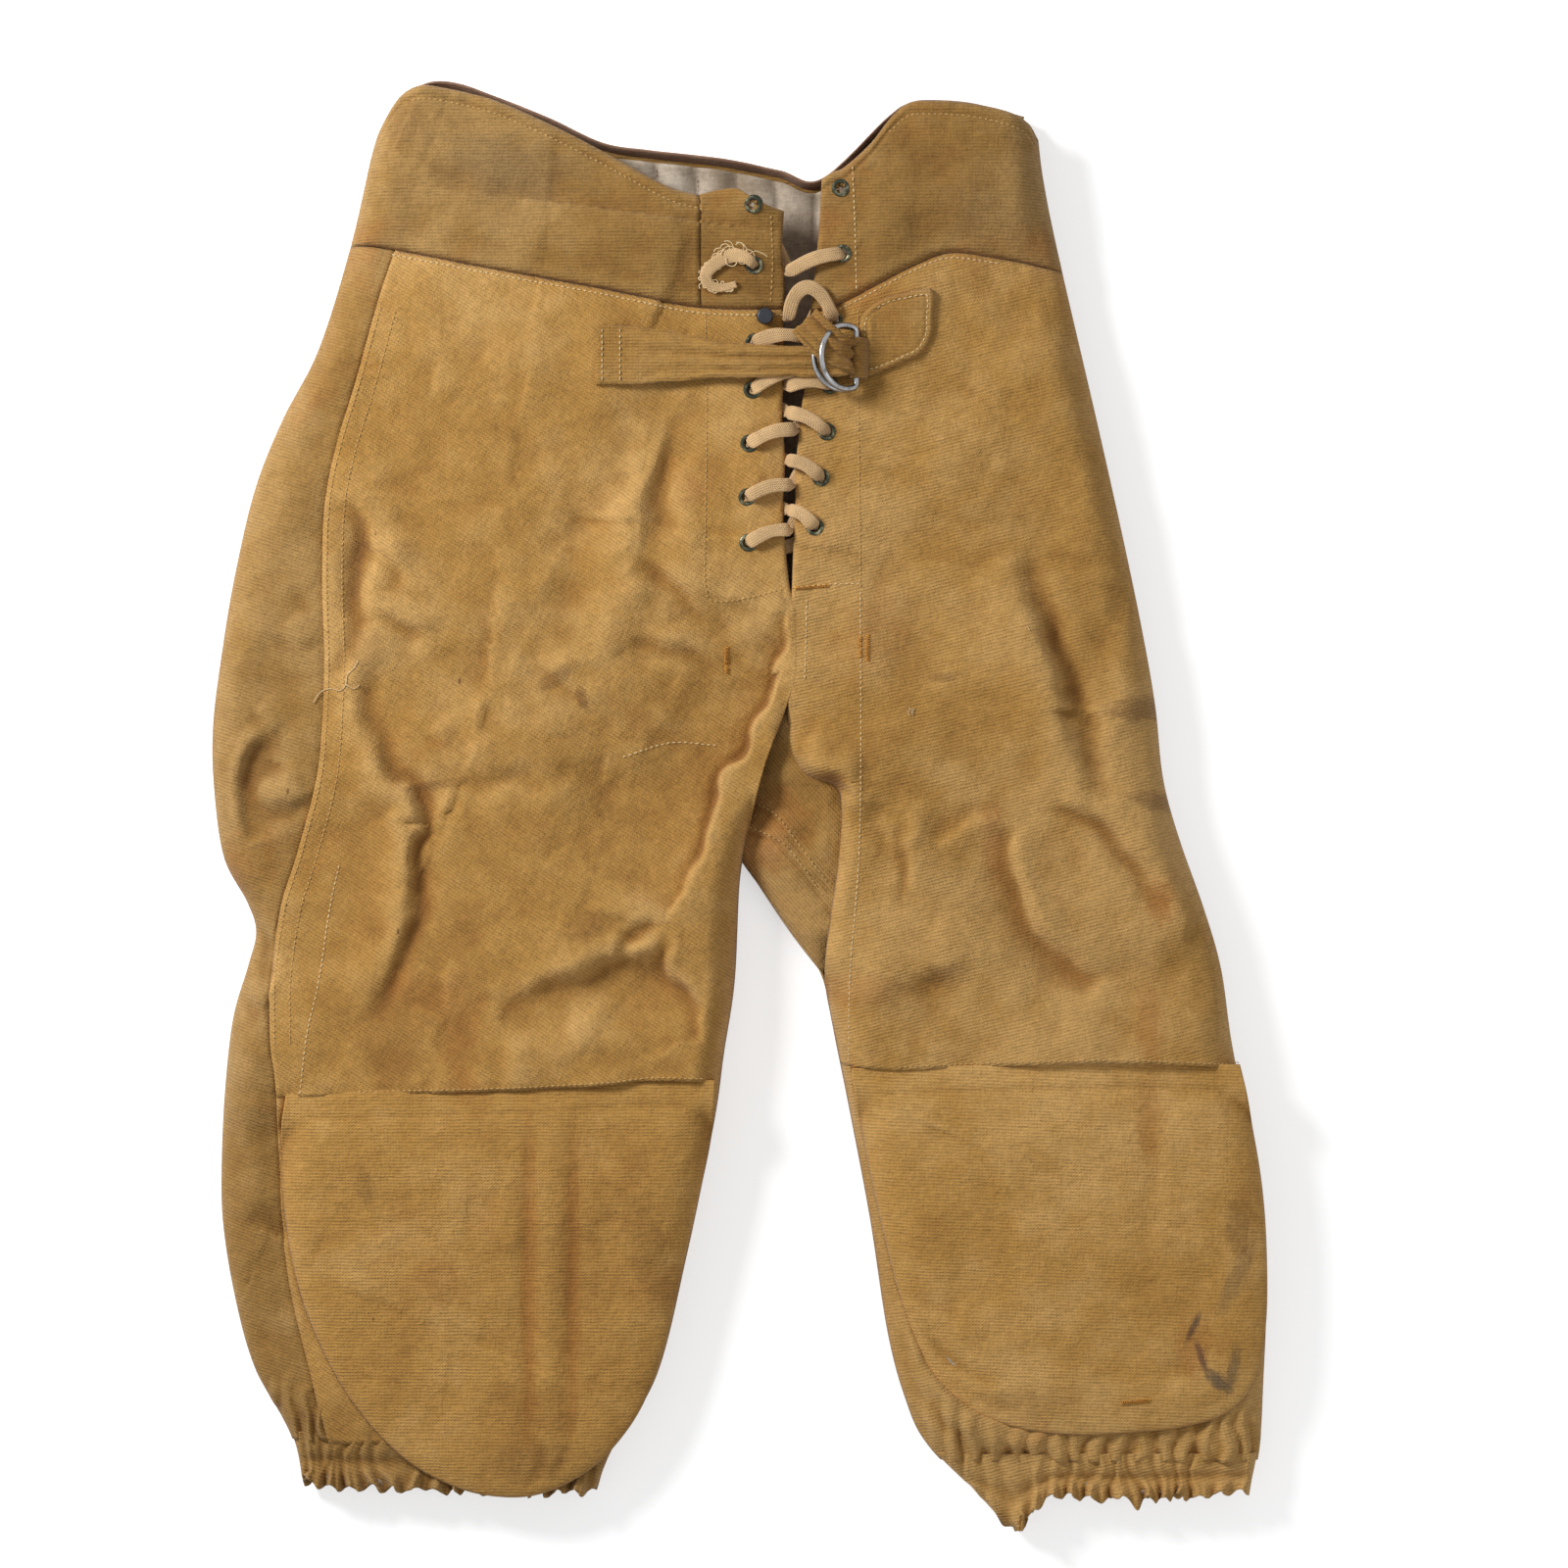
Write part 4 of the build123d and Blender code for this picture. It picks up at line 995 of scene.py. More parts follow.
WAIST_MARKS = [((-112, 322), (46, 18), -14, GREY, 0.22), ((-140, 318), (26, 10), -20, BROWN, 0.2),
               ((-168, 344), (12, 16), 0, BROWN, 0.25), ((112, 300), (26, 20), 0, BROWN, 0.2)]
REAR_MARKS = [((-60, 60), (50, 30), 12, BROWN, 0.25), ((110, -40), (34, 26), 0, BROWN, 0.25)]


def canvas_finish(name, turn=0.0, marks=(), tint=1.0):
    """Cotton duck: ribs turned with the cut of the panel, worn on its folds, soiled in patches and darkened in its
    hollows as painted shade, with its own marks (stains, and on the right thigh one painted shadow).
    """
    cloth = settings("cloth")
    material, tree, shader = finish_named(name)
    place = put(tree, "ShaderNodeTexCoord").outputs["Object"]
    relief = put(tree, "ShaderNodeAttribute", attribute_name="relief").outputs["Fac"]
    weave = placed(tree, "duck_weave", {"Vector": turned(tree, place, math.radians(turn)),
                                        "Pitch": cloth.rib})
    wear_soil_shade = placed(tree, "wear_soil_and_shade", {"Vector": place, "Relief": relief})
    colour = mixed(tree, wear_soil_shade["Worn"], rgba(cloth.canvas, tint), rgba(cloth.worn, tint))
    # painted shade: this mix darkens the hollows, together with the soil patches
    colour = mixed(tree, wear_soil_shade["Soil and shade"], colour, rgba(cloth.soil_and_shade, tint))
    colour = mixed(tree, sums(tree, "MULTIPLY", wear_soil_shade["Smudge"], 0.3), colour, rgba(RUST))
    for (x, y), (across, along), angle, shade, strength in marks:
        scale = (1 / (across * MM), 1 / (along * MM), 0.0)
        a = math.radians(angle)
        moved = put(tree, "ShaderNodeMapping",
                    {"Vector": place, "Location": (-x * MM, -y * MM, 0)}).outputs[0]
        local = turned(tree, turned(tree, moved, turn=-a), scale=scale)
        mask = placed(tree, "ragged_mark", {"Vector": local})["Mask"]
        colour = mixed(tree, sums(tree, "MULTIPLY", mask, strength), colour, rgba(shade))
    colour = mixed(tree, sums(tree, "MULTIPLY", wear_soil_shade["Fleck"], 0.75), colour, rgba(BROWN))
    # painted shade of the weave's ribs, with the yarns' own tone, multiplies the colour
    lit = sums(tree, "ADD", 1.0, weave["Shade"])
    lit = put(tree, "ShaderNodeCombineXYZ", {0: lit, 1: lit, 2: lit}).outputs[0]
    colour = mixed(tree, 1.0, colour, lit, "MULTIPLY")
    tree.links.new(colour, shader.inputs["Base Color"])
    tree.links.new(sums(tree, "SUBTRACT", 0.93, sums(tree, "MULTIPLY", wear_soil_shade["Worn"], 0.09)),
                   shader.inputs["Roughness"])
    shader.inputs["Sheen Weight"].default_value = 0.12
    shader.inputs["Sheen Roughness"].default_value = 0.6
    shader.inputs["Specular IOR Level"].default_value = 0.18
    crease = sums(tree, "MULTIPLY", noise(tree, place, 75.0, 4.0, 0.6), 5.0)
    bumped(tree, shader, sums(tree, "ADD", weave["Height"], crease), 0.00034, 0.9)
    return material


def plain_cloth(name, colour, dark, pitch, roughness=0.9, blotch=22.0):
    """Finer cloth, felt and tape: a small weave over a blotchy colour."""
    material, tree, shader = finish_named(name)
    place = put(tree, "ShaderNodeTexCoord").outputs["Object"]
    weave = placed(tree, "duck_weave", {"Vector": place, "Pitch": pitch})
    share = between(tree, noise(tree, place, blotch, 5.0, 0.62), 0.36, 0.7)
    base = mixed(tree, share, rgba(dark), rgba(colour))
    # painted shade of the weave's ribs, with the yarns' own tone, multiplies the colour
    lit = sums(tree, "ADD", 1.0, weave["Shade"])
    lit = put(tree, "ShaderNodeCombineXYZ", {0: lit, 1: lit, 2: lit}).outputs[0]
    tree.links.new(mixed(tree, 1.0, base, lit, "MULTIPLY"), shader.inputs["Base Color"])
    tree.links.new(between(tree, share, 0, 1, roughness - 0.06, roughness), shader.inputs["Roughness"])
    shader.inputs["Sheen Weight"].default_value = 0.1
    shader.inputs["Specular IOR Level"].default_value = 0.2
    bumped(tree, shader, weave["Height"], 0.0002, 0.7)
    return material


def lace_finish():
    """Flat woven lace: slanting yarns that meet down its middle."""
    colour = settings("lace").colour
    material, tree, shader = finish_named("woven_lace")
    cloth = put(tree, "ShaderNodeSeparateXYZ", {0: put(tree, "ShaderNodeUVMap", uv_map="cloth").outputs[0]})
    middle = sums(tree, "ABSOLUTE", sums(tree, "SUBTRACT", cloth.outputs["X"], 0.5))
    slant = sums(tree, "ADD", sums(tree, "MULTIPLY", cloth.outputs["Y"], 62.0),
                 sums(tree, "MULTIPLY", middle, 30.0))
    yarn = sums(tree, "SINE", slant)
    lines = sums(tree, "SINE", sums(tree, "MULTIPLY", cloth.outputs["X"], 38.0))
    height = sums(tree, "ADD", sums(tree, "MULTIPLY", yarn, 0.6), sums(tree, "MULTIPLY", lines, 0.4))
    place = put(tree, "ShaderNodeTexCoord").outputs["Object"]
    soil = between(tree, noise(tree, place, 70.0, 4.0, 0.6), 0.4, 0.66)
    base = mixed(tree, soil, rgba(colour, 0.86), rgba(colour, 1.08))
    # painted shade: the yarns' height makes the lace lighter on its yarns and darker between them
    lit = sums(tree, "ADD", 1.0, sums(tree, "MULTIPLY", height, 0.16))
    lit = put(tree, "ShaderNodeCombineXYZ", {0: lit, 1: lit, 2: lit}).outputs[0]
    tree.links.new(mixed(tree, 1.0, base, lit, "MULTIPLY"), shader.inputs["Base Color"])
    tree.links.new(between(tree, soil, 0, 1, 0.86, 0.78), shader.inputs["Roughness"])
    shader.inputs["Sheen Weight"].default_value = 0.15
    bumped(tree, shader, height, 0.00022, 0.8)
    return material


def thread_finish(name, colour):
    """Cotton thread, a little uneven along its length."""
    material, tree, shader = finish_named(name)
    place = put(tree, "ShaderNodeTexCoord").outputs["Object"]
    share = noise(tree, place, 420.0, 2.0)
    tree.links.new(mixed(tree, share, rgba(colour, 0.72), rgba(colour, 1.2)), shader.inputs["Base Color"])
    tree.links.new(between(tree, share, 0, 1, 0.75, 0.9), shader.inputs["Roughness"])
    return material


def metal_finish(name, bright, dull, rough, patina, scale=240.0):
    """Metal under a patchy tarnish."""
    material, tree, shader = finish_named(name)
    place = put(tree, "ShaderNodeTexCoord").outputs["Object"]
    tarnish = between(tree, noise(tree, place, scale, 6.0, 0.65), patina - 0.14, patina + 0.14)
    scratch = noise(tree, turned(tree, place, 0.6, scale=(300, 2200, 600)), 1.0, 3.0)
    tree.links.new(mixed(tree, tarnish, rgba(bright), rgba(dull)), shader.inputs["Base Color"])
    shader.inputs["Metallic"].default_value = 1.0
    level = sums(tree, "ADD", between(tree, tarnish, 0, 1, rough, rough + 0.35),
                 sums(tree, "MULTIPLY", scratch, 0.1))
    tree.links.new(level, shader.inputs["Roughness"])
    bumped(tree, shader, sums(tree, "ADD", scratch, tarnish), 0.00004, 0.6)
    return material


def snap_finish():
    """Black enamel, chipped to dull metal in a few places."""
    material, tree, shader = finish_named("snap_enamel")
    place = put(tree, "ShaderNodeTexCoord").outputs["Object"]
    chip = between(tree, noise(tree, place, 900.0, 4.0, 0.7), 0.66, 0.72)
    tree.links.new(mixed(tree, chip, (0.012, 0.014, 0.02, 1), (0.2, 0.17, 0.13, 1)),
                   shader.inputs["Base Color"])
    tree.links.new(chip, shader.inputs["Metallic"])
    tree.links.new(between(tree, noise(tree, place, 500.0), 0.3, 0.7, 0.28, 0.48), shader.inputs["Roughness"])
    return material


_finishes = {}


def finish_of(name):
    """Each finish is made once, when it is first used."""
    if name not in _finishes:
        cloth = settings("cloth")
        makers = {
            "thigh_canvas_right": lambda: canvas_finish("thigh_canvas_right", 33, THIGH_MARKS_RIGHT, 1.07),
            "thigh_canvas_left": lambda: canvas_finish("thigh_canvas_left", -14, THIGH_MARKS_LEFT, 1.04),
            # painted shade: the rear canvas is drawn darker (tint 0.76) where the back panel curves down at the sides
            "rear_canvas_shaded": lambda: canvas_finish("rear_canvas_shaded", 18, REAR_MARKS, 0.76),
            "waist_canvas": lambda: canvas_finish("waist_canvas", 0, WAIST_MARKS, 0.72),
            "knee_canvas_right": lambda: canvas_finish("knee_canvas_right", 0, KNEE_MARKS_RIGHT, 1.12),
            "knee_canvas_left": lambda: canvas_finish("knee_canvas_left", 2, KNEE_MARKS_LEFT, 1.2),
            "trim_canvas": lambda: canvas_finish("trim_canvas", 0, (), 0.88),
            "gusset_canvas": lambda: canvas_finish("gusset_canvas", 48,
                                                   [((10, -10), (30, 30), 0, RUST, 0.4)], 0.84),
            "quilted_lining": lambda: plain_cloth("quilted_lining", cloth.lining, (0.33, 0.25, 0.17), 0.0006),
            "felt": lambda: plain_cloth("felt", (0.5, 0.44, 0.35), (0.36, 0.3, 0.22), 0.0021, 0.95, 60.0),
            "binding_tape": lambda: plain_cloth("binding_tape", (0.42, 0.26, 0.17), (0.26, 0.14, 0.085),
                                                0.0007),
            "elastic": lambda: plain_cloth("elastic", (0.55, 0.47, 0.36), (0.4, 0.32, 0.22), 0.0012),
            "woven_lace": lace_finish,
            "pale_thread": lambda: thread_finish("pale_thread", (0.8, 0.6, 0.32)),
            "cloth_thread": lambda: thread_finish("cloth_thread", (0.6, 0.38, 0.14)),
            "tack_thread": lambda: thread_finish("tack_thread", (0.9, 0.42, 0.07)),
            "binding_thread": lambda: thread_finish("binding_thread", (0.3, 0.17, 0.1)),
            "frayed_yarn": lambda: thread_finish("frayed_yarn", (0.86, 0.66, 0.38)),
            "aged_brass": lambda: metal_finish("aged_brass", (0.3, 0.27, 0.17), (0.045, 0.05, 0.035), 0.26,
                                               0.42),
            "ring_steel": lambda: metal_finish("ring_steel", (0.34, 0.34, 0.35), (0.16, 0.15, 0.14), 0.2,
                                               0.6, 160.0),
            "snap_enamel": snap_finish,
        }
        _finishes[name] = makers[name]()
    return _finishes[name]


# ==== repeats made with Geometry Nodes ==============================================================
def tree_with(name, inputs):
    tree = bpy.data.node_groups.new(name, "GeometryNodeTree")
    tree.interface.new_socket(name="Geometry", in_out="INPUT", socket_type="NodeSocketGeometry")
    for label, kind in inputs:
        tree.interface.new_socket(name=label, in_out="INPUT", socket_type=kind)
    tree.interface.new_socket(name="Geometry", in_out="OUTPUT", socket_type="NodeSocketGeometry")
    return tree, tree.nodes.new("NodeGroupInput").outputs, tree.nodes.new("NodeGroupOutput").inputs["Geometry"]


def stitch_tree():
    """Rounded stitches, evenly spaced along lines and a little uneven in size."""
    tree, given, result = tree_with(
        "stitch_run",
        [("Pitch", "NodeSocketFloat"), ("Stitch", "NodeSocketFloat"), ("Thread", "NodeSocketFloat"),
         ("Seed", "NodeSocketInt"), ("Material", "NodeSocketMaterial")],
    )
    lines = put(tree, "GeometryNodeMeshToCurve", {0: given["Geometry"]}).outputs[0]
    spread = put(tree, "GeometryNodeResampleCurve", {"Curve": lines, "Length": given["Pitch"]},
                 mode="LENGTH").outputs[0]
    bead = put(tree, "GeometryNodeMeshUVSphere", {"Segments": 6, "Rings": 5, "Radius": 0.5}).outputs[0]
    shape = put(tree, "ShaderNodeCombineXYZ", {0: given["Stitch"], 1: given["Thread"],
                                               2: given["Thread"]}).outputs[0]
    stitch = put(tree, "GeometryNodeTransform", {"Geometry": bead, "Scale": shape}).outputs[0]
    along = put(
        tree, "FunctionNodeAlignRotationToVector",
        {"Vector": put(tree, "GeometryNodeInputTangent").outputs[0]}, axis="X"
    ).outputs[0]
    uneven = put(
        tree, "FunctionNodeRandomValue", {0: (0.82, 0.85, 0.8), 1: (1.12, 1.15, 1.1), "Seed": given["Seed"]},
        data_type="FLOAT_VECTOR",
    ).outputs[0]
    rows = put(
        tree, "GeometryNodeInstanceOnPoints", {"Points": spread, "Instance": stitch, "Rotation": along,
                                               "Scale": uneven}
    ).outputs[0]
    real = put(tree, "GeometryNodeRealizeInstances", {0: rows}).outputs[0]
    soft = put(tree, "GeometryNodeSetShadeSmooth", {0: real}).outputs[0]
    painted = put(tree, "GeometryNodeSetMaterial",
                  {"Geometry": soft, "Material": given["Material"]}).outputs[0]
    tree.links.new(painted, result)
    return tree


def eyelet_tree():
    """Eyelets: a rolled flange on the face, a barrel through the cloth and a flat flange behind."""
    tree, given, result = tree_with(
        "eyelet_row", [("Bore", "NodeSocketFloat"), ("Depth", "NodeSocketFloat"),
                       ("Material", "NodeSocketMaterial")]
    )

    def ring(radius, wide, tall, lift):
        track = put(tree, "GeometryNodeCurvePrimitiveCircle", {"Resolution": 32, "Radius": radius},
                    mode="RADIUS").outputs[0]
        dot = put(tree, "GeometryNodeCurvePrimitiveCircle", {"Resolution": 10, "Radius": 0.5},
                  mode="RADIUS").outputs[0]
        size = put(tree, "ShaderNodeCombineXYZ", {0: wide, 1: tall, 2: 1.0}).outputs[0]
        section = put(tree, "GeometryNodeTransform", {"Geometry": dot, "Scale": size}).outputs[0]
        body = put(tree, "GeometryNodeCurveToMesh", {"Curve": track, "Profile Curve": section}).outputs[0]
        drop = put(tree, "ShaderNodeCombineXYZ", {2: lift}).outputs[0]
        return put(tree, "GeometryNodeTransform", {"Geometry": body, "Translation": drop}).outputs[0]

    wide = 1.9 * MM
    middle = sums(tree, "ADD", given["Bore"], wide / 2)
    below = sums(tree, "MULTIPLY", given["Depth"], -1.0)
    half = sums(tree, "MULTIPLY", given["Depth"], -0.5)
    whole = put(tree, "GeometryNodeJoinGeometry")
    for part in (
        ring(middle, wide, 0.9 * MM, 0.0),
        ring(middle, wide, 0.5 * MM, below),
        ring(sums(tree, "ADD", given["Bore"], 0.2 * MM), 0.4 * MM, given["Depth"], half),
    ):
        tree.links.new(part, whole.inputs[0])
    facing = put(tree, "GeometryNodeInputNamedAttribute", {"Name": "facing"},
                 data_type="FLOAT_VECTOR").outputs[0]
    turn = put(tree, "FunctionNodeAlignRotationToVector", {"Vector": facing}, axis="Z").outputs[0]
    rows = put(
        tree, "GeometryNodeInstanceOnPoints", {"Points": given["Geometry"], "Instance": whole.outputs[0],
                                               "Rotation": turn}
    ).outputs[0]
    real = put(tree, "GeometryNodeRealizeInstances", {0: rows}).outputs[0]
    soft = put(tree, "GeometryNodeSetShadeSmooth", {0: real}).outputs[0]
    painted = put(tree, "GeometryNodeSetMaterial",
                  {"Geometry": soft, "Material": given["Material"]}).outputs[0]
    tree.links.new(painted, result)
    return tree


_trees = {}


def grown(name, mesh, tree_name, values):
    """Runs a tree on a mesh and keeps the result as a plain mesh piece."""
    if tree_name not in _trees:
        _trees[tree_name] = {"stitch_run": stitch_tree, "eyelet_row": eyelet_tree}[tree_name]()
    tree = _trees[tree_name]
    holder = bpy.data.objects.new(name + "_lines", mesh)
    modifier = holder.modifiers.new("Repeat", "NODES")
    modifier.node_group = tree
    for item in tree.interface.items_tree:
        if item.item_type == "SOCKET" and item.in_out == "INPUT" and item.name in values:
            modifier[item.identifier] = values[item.name]
    bpy.context.scene.collection.objects.link(holder)
    bpy.context.view_layer.update()
    result = bpy.data.meshes.new_from_object(holder.evaluated_get(bpy.context.evaluated_depsgraph_get()))
    result.name = name
    bpy.data.objects.remove(holder)
    piece = bpy.data.objects.new(name, result)
    bpy.context.scene.collection.objects.link(piece)
    return tidy_mesh(piece, 1e-6)


def stitched(name, lines, finish, pitch=1.0, length=1.0, thread=1.0):
    """Stitches along lines of points in mm."""
    sewing = settings("stitching")
    points, edges, start = [], [], 0
    for line in lines:
        points += [tuple(p) for p in np.asarray(line, float) * MM]
        edges += [(start + k, start + k + 1) for k in range(len(line) - 1)]
        start += len(line)
    mesh = bpy.data.meshes.new(name + "_lines")
    mesh.from_pydata(points, edges, [])
    values = {
        "Pitch": sewing.pitch * pitch, "Stitch": sewing.length * length, "Thread": sewing.thread * thread,
        "Seed": sewing.seed, "Material": finish_of(finish),
    }
    return finish_piece(grown(name, mesh, "stitch_run", values),
                        "tack_thread" if finish == "tack_thread" else "canvas")


# ==== heights of the finished panels ================================================================
panel_edge_right = x_along(
    FLY_EDGE_RIGHT[:-1] + [(25.6, 110), (27.5, 104), (28.5, 88), (28, 66), (22, 46), (13, 22),
                           (5, -10)] + INNER_RIGHT[4:]
)
panel_edge_left = x_along(FLY_EDGE_LEFT[1:-1] + HEM_PANEL_LEFT[1:])
outseam = x_along(OUTSEAM)
knee_edge_right, knee_edge_left = y_along(KNEE_EDGE_RIGHT), y_along(KNEE_EDGE_LEFT)
waist_seam_right, waist_seam_left = y_along(WAIST_SEAM_RIGHT), y_along(WAIST_SEAM_LEFT)
waist_top_right, waist_top_left = y_along(WAIST_TOP_RIGHT), y_along(WAIST_TOP_LEFT)
tab_top, back_top = y_along(TAB_TOP), y_along(BACK_TOP)


def gathers(x, y, foot, reach, pitch):
    """Pleats that grow towards a gathered foot."""
    grow = ramp((foot + reach - y) / reach)
    phase = 2 * np.pi * x / pitch + 1.8 * lumps(x, y, 12, 31)
    return grow * (1.5 * np.sin(phase) + 0.5 * np.sin(2.3 * phase + 1))


def thigh_right(x, y):
    z = front(x, y, -1)
    roll = ramp((y - 100) / 12)
    return z - roll * 1.6 * (1 - rounded(panel_edge_right(y) - x, 3.5))


def thigh_left(x, y):
    z = front(x, y, 1)
    d = x - panel_edge_left(y)
    roll = ramp((y - 100) / 12) * 1.6 * (1 - rounded(d, 3.5))
    overhang = ramp((55 - y) / 20) * ramp((y + 84) / 24) * 8.5 * (1 - rounded(d, 9))
    return z - roll - overhang + 1.1 * gathers(x, y, LEFT_PANEL_FOOT, 44, PLEAT_PITCH) * rounded(d, 20)


def under_pocket(side, x, y, z):
    """The leg's own cloth sinks under the knee pocket, and carries on round it."""
    rim = smooth(KNEE_RIM_RIGHT if side == "right" else KNEE_RIM_LEFT, 4.0)
    closed = np.vstack([rim, rim[:1]])
    d, _ = beside(closed, x, y)
    middle = closed.mean(0)
    d = d * np.sign(beside(closed, middle[:1], middle[1:2])[0][0])
    sunk = np.minimum(z - 1.5, 21.4)
    return z - 0.8 + (sunk - z + 0.8) * ramp((d + 1) / 4)


def side_right(x, y):
    return front(x, y, 0, -0.6) + 1.1 * gathers(x, y, -318, 40, 10)


def waist_right(x, y):
    hem = waist_top_right(x) - y
    z = front(x, y, 0, 1.2, 18) - 3.6 * (1 - rounded(hem, 4.5)) - 0.9 * np.exp(-(((hem - 6) / 1.6) ** 2))
    return z - 0.9 * (1 - rounded(y - waist_seam_right(x), 2.5))


def waist_left(x, y):
    hem = waist_top_left(x) - y
    z = front(x, y, 0, 1.2, 18) - 3.6 * (1 - rounded(hem, 4.5)) - 0.9 * np.exp(-(((hem - 6) / 1.6) ** 2))
    z = z - 1.6 * (1 - rounded(x - panel_edge_left(y), 3.5))
    return z - 0.9 * (1 - rounded(y - waist_seam_left(x), 2.5))


def tab_height(x, y):
    z = front(x, y, 0, 0.5)
    z = z - 1.4 * (1 - rounded(panel_edge_right(y) - x, 3)) - 0.7 * (1 - rounded(y - 252, 2.5))
    curl = ramp((y - 290) / 18) * np.exp(-(((x - 9) / 13) ** 2))
    return z + 5.5 * curl - 1.2 * (1 - rounded(tab_top(x) - y, 2.5))


def on(surface, points, lift=0.12, spacing=1.3, shift=0.0):
    """A smooth line on a surface, moved sideways by a shift."""
    line = smooth(points, spacing)
    if shift:
        run = frames_along(line)
        line = line + shift * np.column_stack([run[:, 1], -run[:, 0]])
    z = surface(line[:, 0], line[:, 1])
    return np.column_stack([line, z + lift])


def part_of(points, low, high, axis=0):
    return [p for p in points if low <= p[axis] <= high]


# ==== operators =====================================================================================
class BuildStep(bpy.types.Operator):
    """Builds one group of pieces of the breeches"""

    bl_idname = "breeches.step"
    bl_label = "Step"
    bl_options = {"REGISTER", "UNDO"}

    def execute(self, context):
        self.build(context)
        return {"FINISHED"}


class AddStage(BuildStep):
    """Adds the floor, the lamps, the plain backdrop and the camera"""

    bl_idname = "breeches.stage"
    bl_label = "Stage"

    def build(self, context):
        stage = settings("stage")
        scene = context.scene
        low, high = CAD_BOX
        middle = (low + high) / 2
        camera = bpy.data.cameras.new("camera")
        camera.sensor_width, distance = 36.0, 2.4
        camera.lens = camera.sensor_width * distance / stage.field
        eye = bpy.data.objects.new("camera", camera)
        eye.location = (0.0225, 0.012, distance)
        scene.collection.objects.link(eye)
        scene.camera = eye
        for name, place, size, power in (
            ("key", (-1.15, 0.8, 0.95), 0.5, stage.key), ("fill", (1.3, -0.6, 1.5), 1.4, stage.fill)
        ):
            lamp = bpy.data.lights.new(name, "AREA")
            lamp.shape, lamp.size, lamp.energy = "DISK", size, power
            holder = bpy.data.objects.new(name, lamp)
            holder.location = place
            holder.rotation_euler = (middle - Vector(place)).to_track_quat("-Z", "Y").to_euler()
            scene.collection.objects.link(holder)
        mesh = bpy.data.meshes.new("floor")
        side = 12.0
        mesh.from_pydata([(-side, -side, 0), (side, -side, 0), (side, side, 0), (-side, side, 0)], [],
                         [(0, 1, 2, 3)])
        floor = bpy.data.objects.new("floor", mesh)
        floor.location.z = low.z - 0.0006
        material, tree, shader = finish_named("floor_paper")
        shader.inputs["Base Color"].default_value = rgba(stage.floor)
        shader.inputs["Roughness"].default_value = 0.9
        seen = put(tree, "ShaderNodeLightPath")
        ray = sums(tree, "MAXIMUM", seen.outputs["Is Camera Ray"], seen.outputs["Is Glossy Ray"])
        glow = put(tree, "ShaderNodeEmission", {"Strength": sums(tree, "MULTIPLY", ray, 0.55)})
        both = put(tree, "ShaderNodeAddShader", {0: shader.outputs[0], 1: glow.outputs[0]})
        tree.links.new(both.outputs[0], tree.nodes["Material Output"].inputs["Surface"])
        mesh.materials.append(material)
        scene.collection.objects.link(floor)
        world = bpy.data.worlds.new("studio")
        world.use_nodes = True
        scene.world = world
        tree = world.node_tree
        seen = put(tree, "ShaderNodeLightPath")
        ray = sums(tree, "MAXIMUM", seen.outputs["Is Camera Ray"], seen.outputs["Is Glossy Ray"])
        ray = sums(tree, "MAXIMUM", ray, seen.outputs["Is Transmission Ray"])
        strength = sums(tree, "ADD", 0.27, sums(tree, "MULTIPLY", ray, 0.73))
        back = tree.nodes["Background"]
        back.inputs["Color"].default_value = (1, 1, 1, 1)
        tree.links.new(strength, back.inputs["Strength"])
        scene.view_settings.view_transform = "Standard"


class AddLaceTail(BuildStep):
    """Adds the frayed free end of the lace, with its loose yarns"""

    bl_idname = "breeches.lace_tail"
    bl_label = "Frayed lace end"

    def build(self, context):
        lace = settings("lace")
        path = nurbs_line("lace_tail_line", TAIL_ROUTE)
        n = len(path)
        share = np.linspace(0, 1, n)
        width = lace.width / MM * np.interp(share, [0, 0.1, 0.3, 0.7, 1], [0.6, 0.75, 1.05, 0.9, 0.5])
        thickness = lace.thickness / MM * np.interp(share, [0, 0.2, 1], [1.5, 1.1, 1.1])
        along = frames_along(path)
        across = np.cross(along, (0.15, 0.1, 1.0))
        first = np.nonzero(np.abs(along[:, 2]) < 0.6)[0][0]
        across[:first] = across[first]
        across = across / np.linalg.norm(across, axis=1)[:, None]
        points, faces, uv = ribbon(path, across, width, thickness)
        piece = make("frayed_lace_end", points, faces, finish_of("woven_lace"), uv=uv)
        tidy_mesh(piece, 1e-6)
        finish_piece(piece, "lace", "lace_tail")
        rng = np.random.default_rng(8)
        parts = []
        starts = [int(n * s) for s in np.linspace(0.16, 0.97, 34)]
        for k, at in enumerate(starts):
            side = 1 if k % 5 else -1
            place = path[at] + across[at] * side * width[at] * 0.42
            outward = across[at] * side + np.array([0, 0, 0.1]) + 0.5 * rng.standard_normal(3) * (1, 1, 0.3)
            length = rng.uniform(6, 11) if at < 0.55 * n else rng.uniform(2, 5)
            line, heading = [place], outward / np.linalg.norm(outward)
            bend = rng.uniform(0.3, 0.75) * rng.choice((-1, 1))
            for _ in range(14):
                turn = bend + 0.25 * rng.standard_normal()
                c, s = math.cos(turn * 0.45), math.sin(turn * 0.45)
                heading = np.array([heading[0] * c - heading[1] * s, heading[0] * s + heading[1] * c,
                                    heading[2] * 0.8])
                step = line[-1] + heading * length / 14
                step[2] = max(step[2], 33.2 + 0.4 * rng.random())
                line.append(step)
            parts.append(tube(np.array(line), rng.uniform(0.2, 0.3), 5))
        points, faces = joined(parts)
        fray = make("lace_fray", points, faces, finish_of("frayed_yarn"))
        finish_piece(fray, "lace")


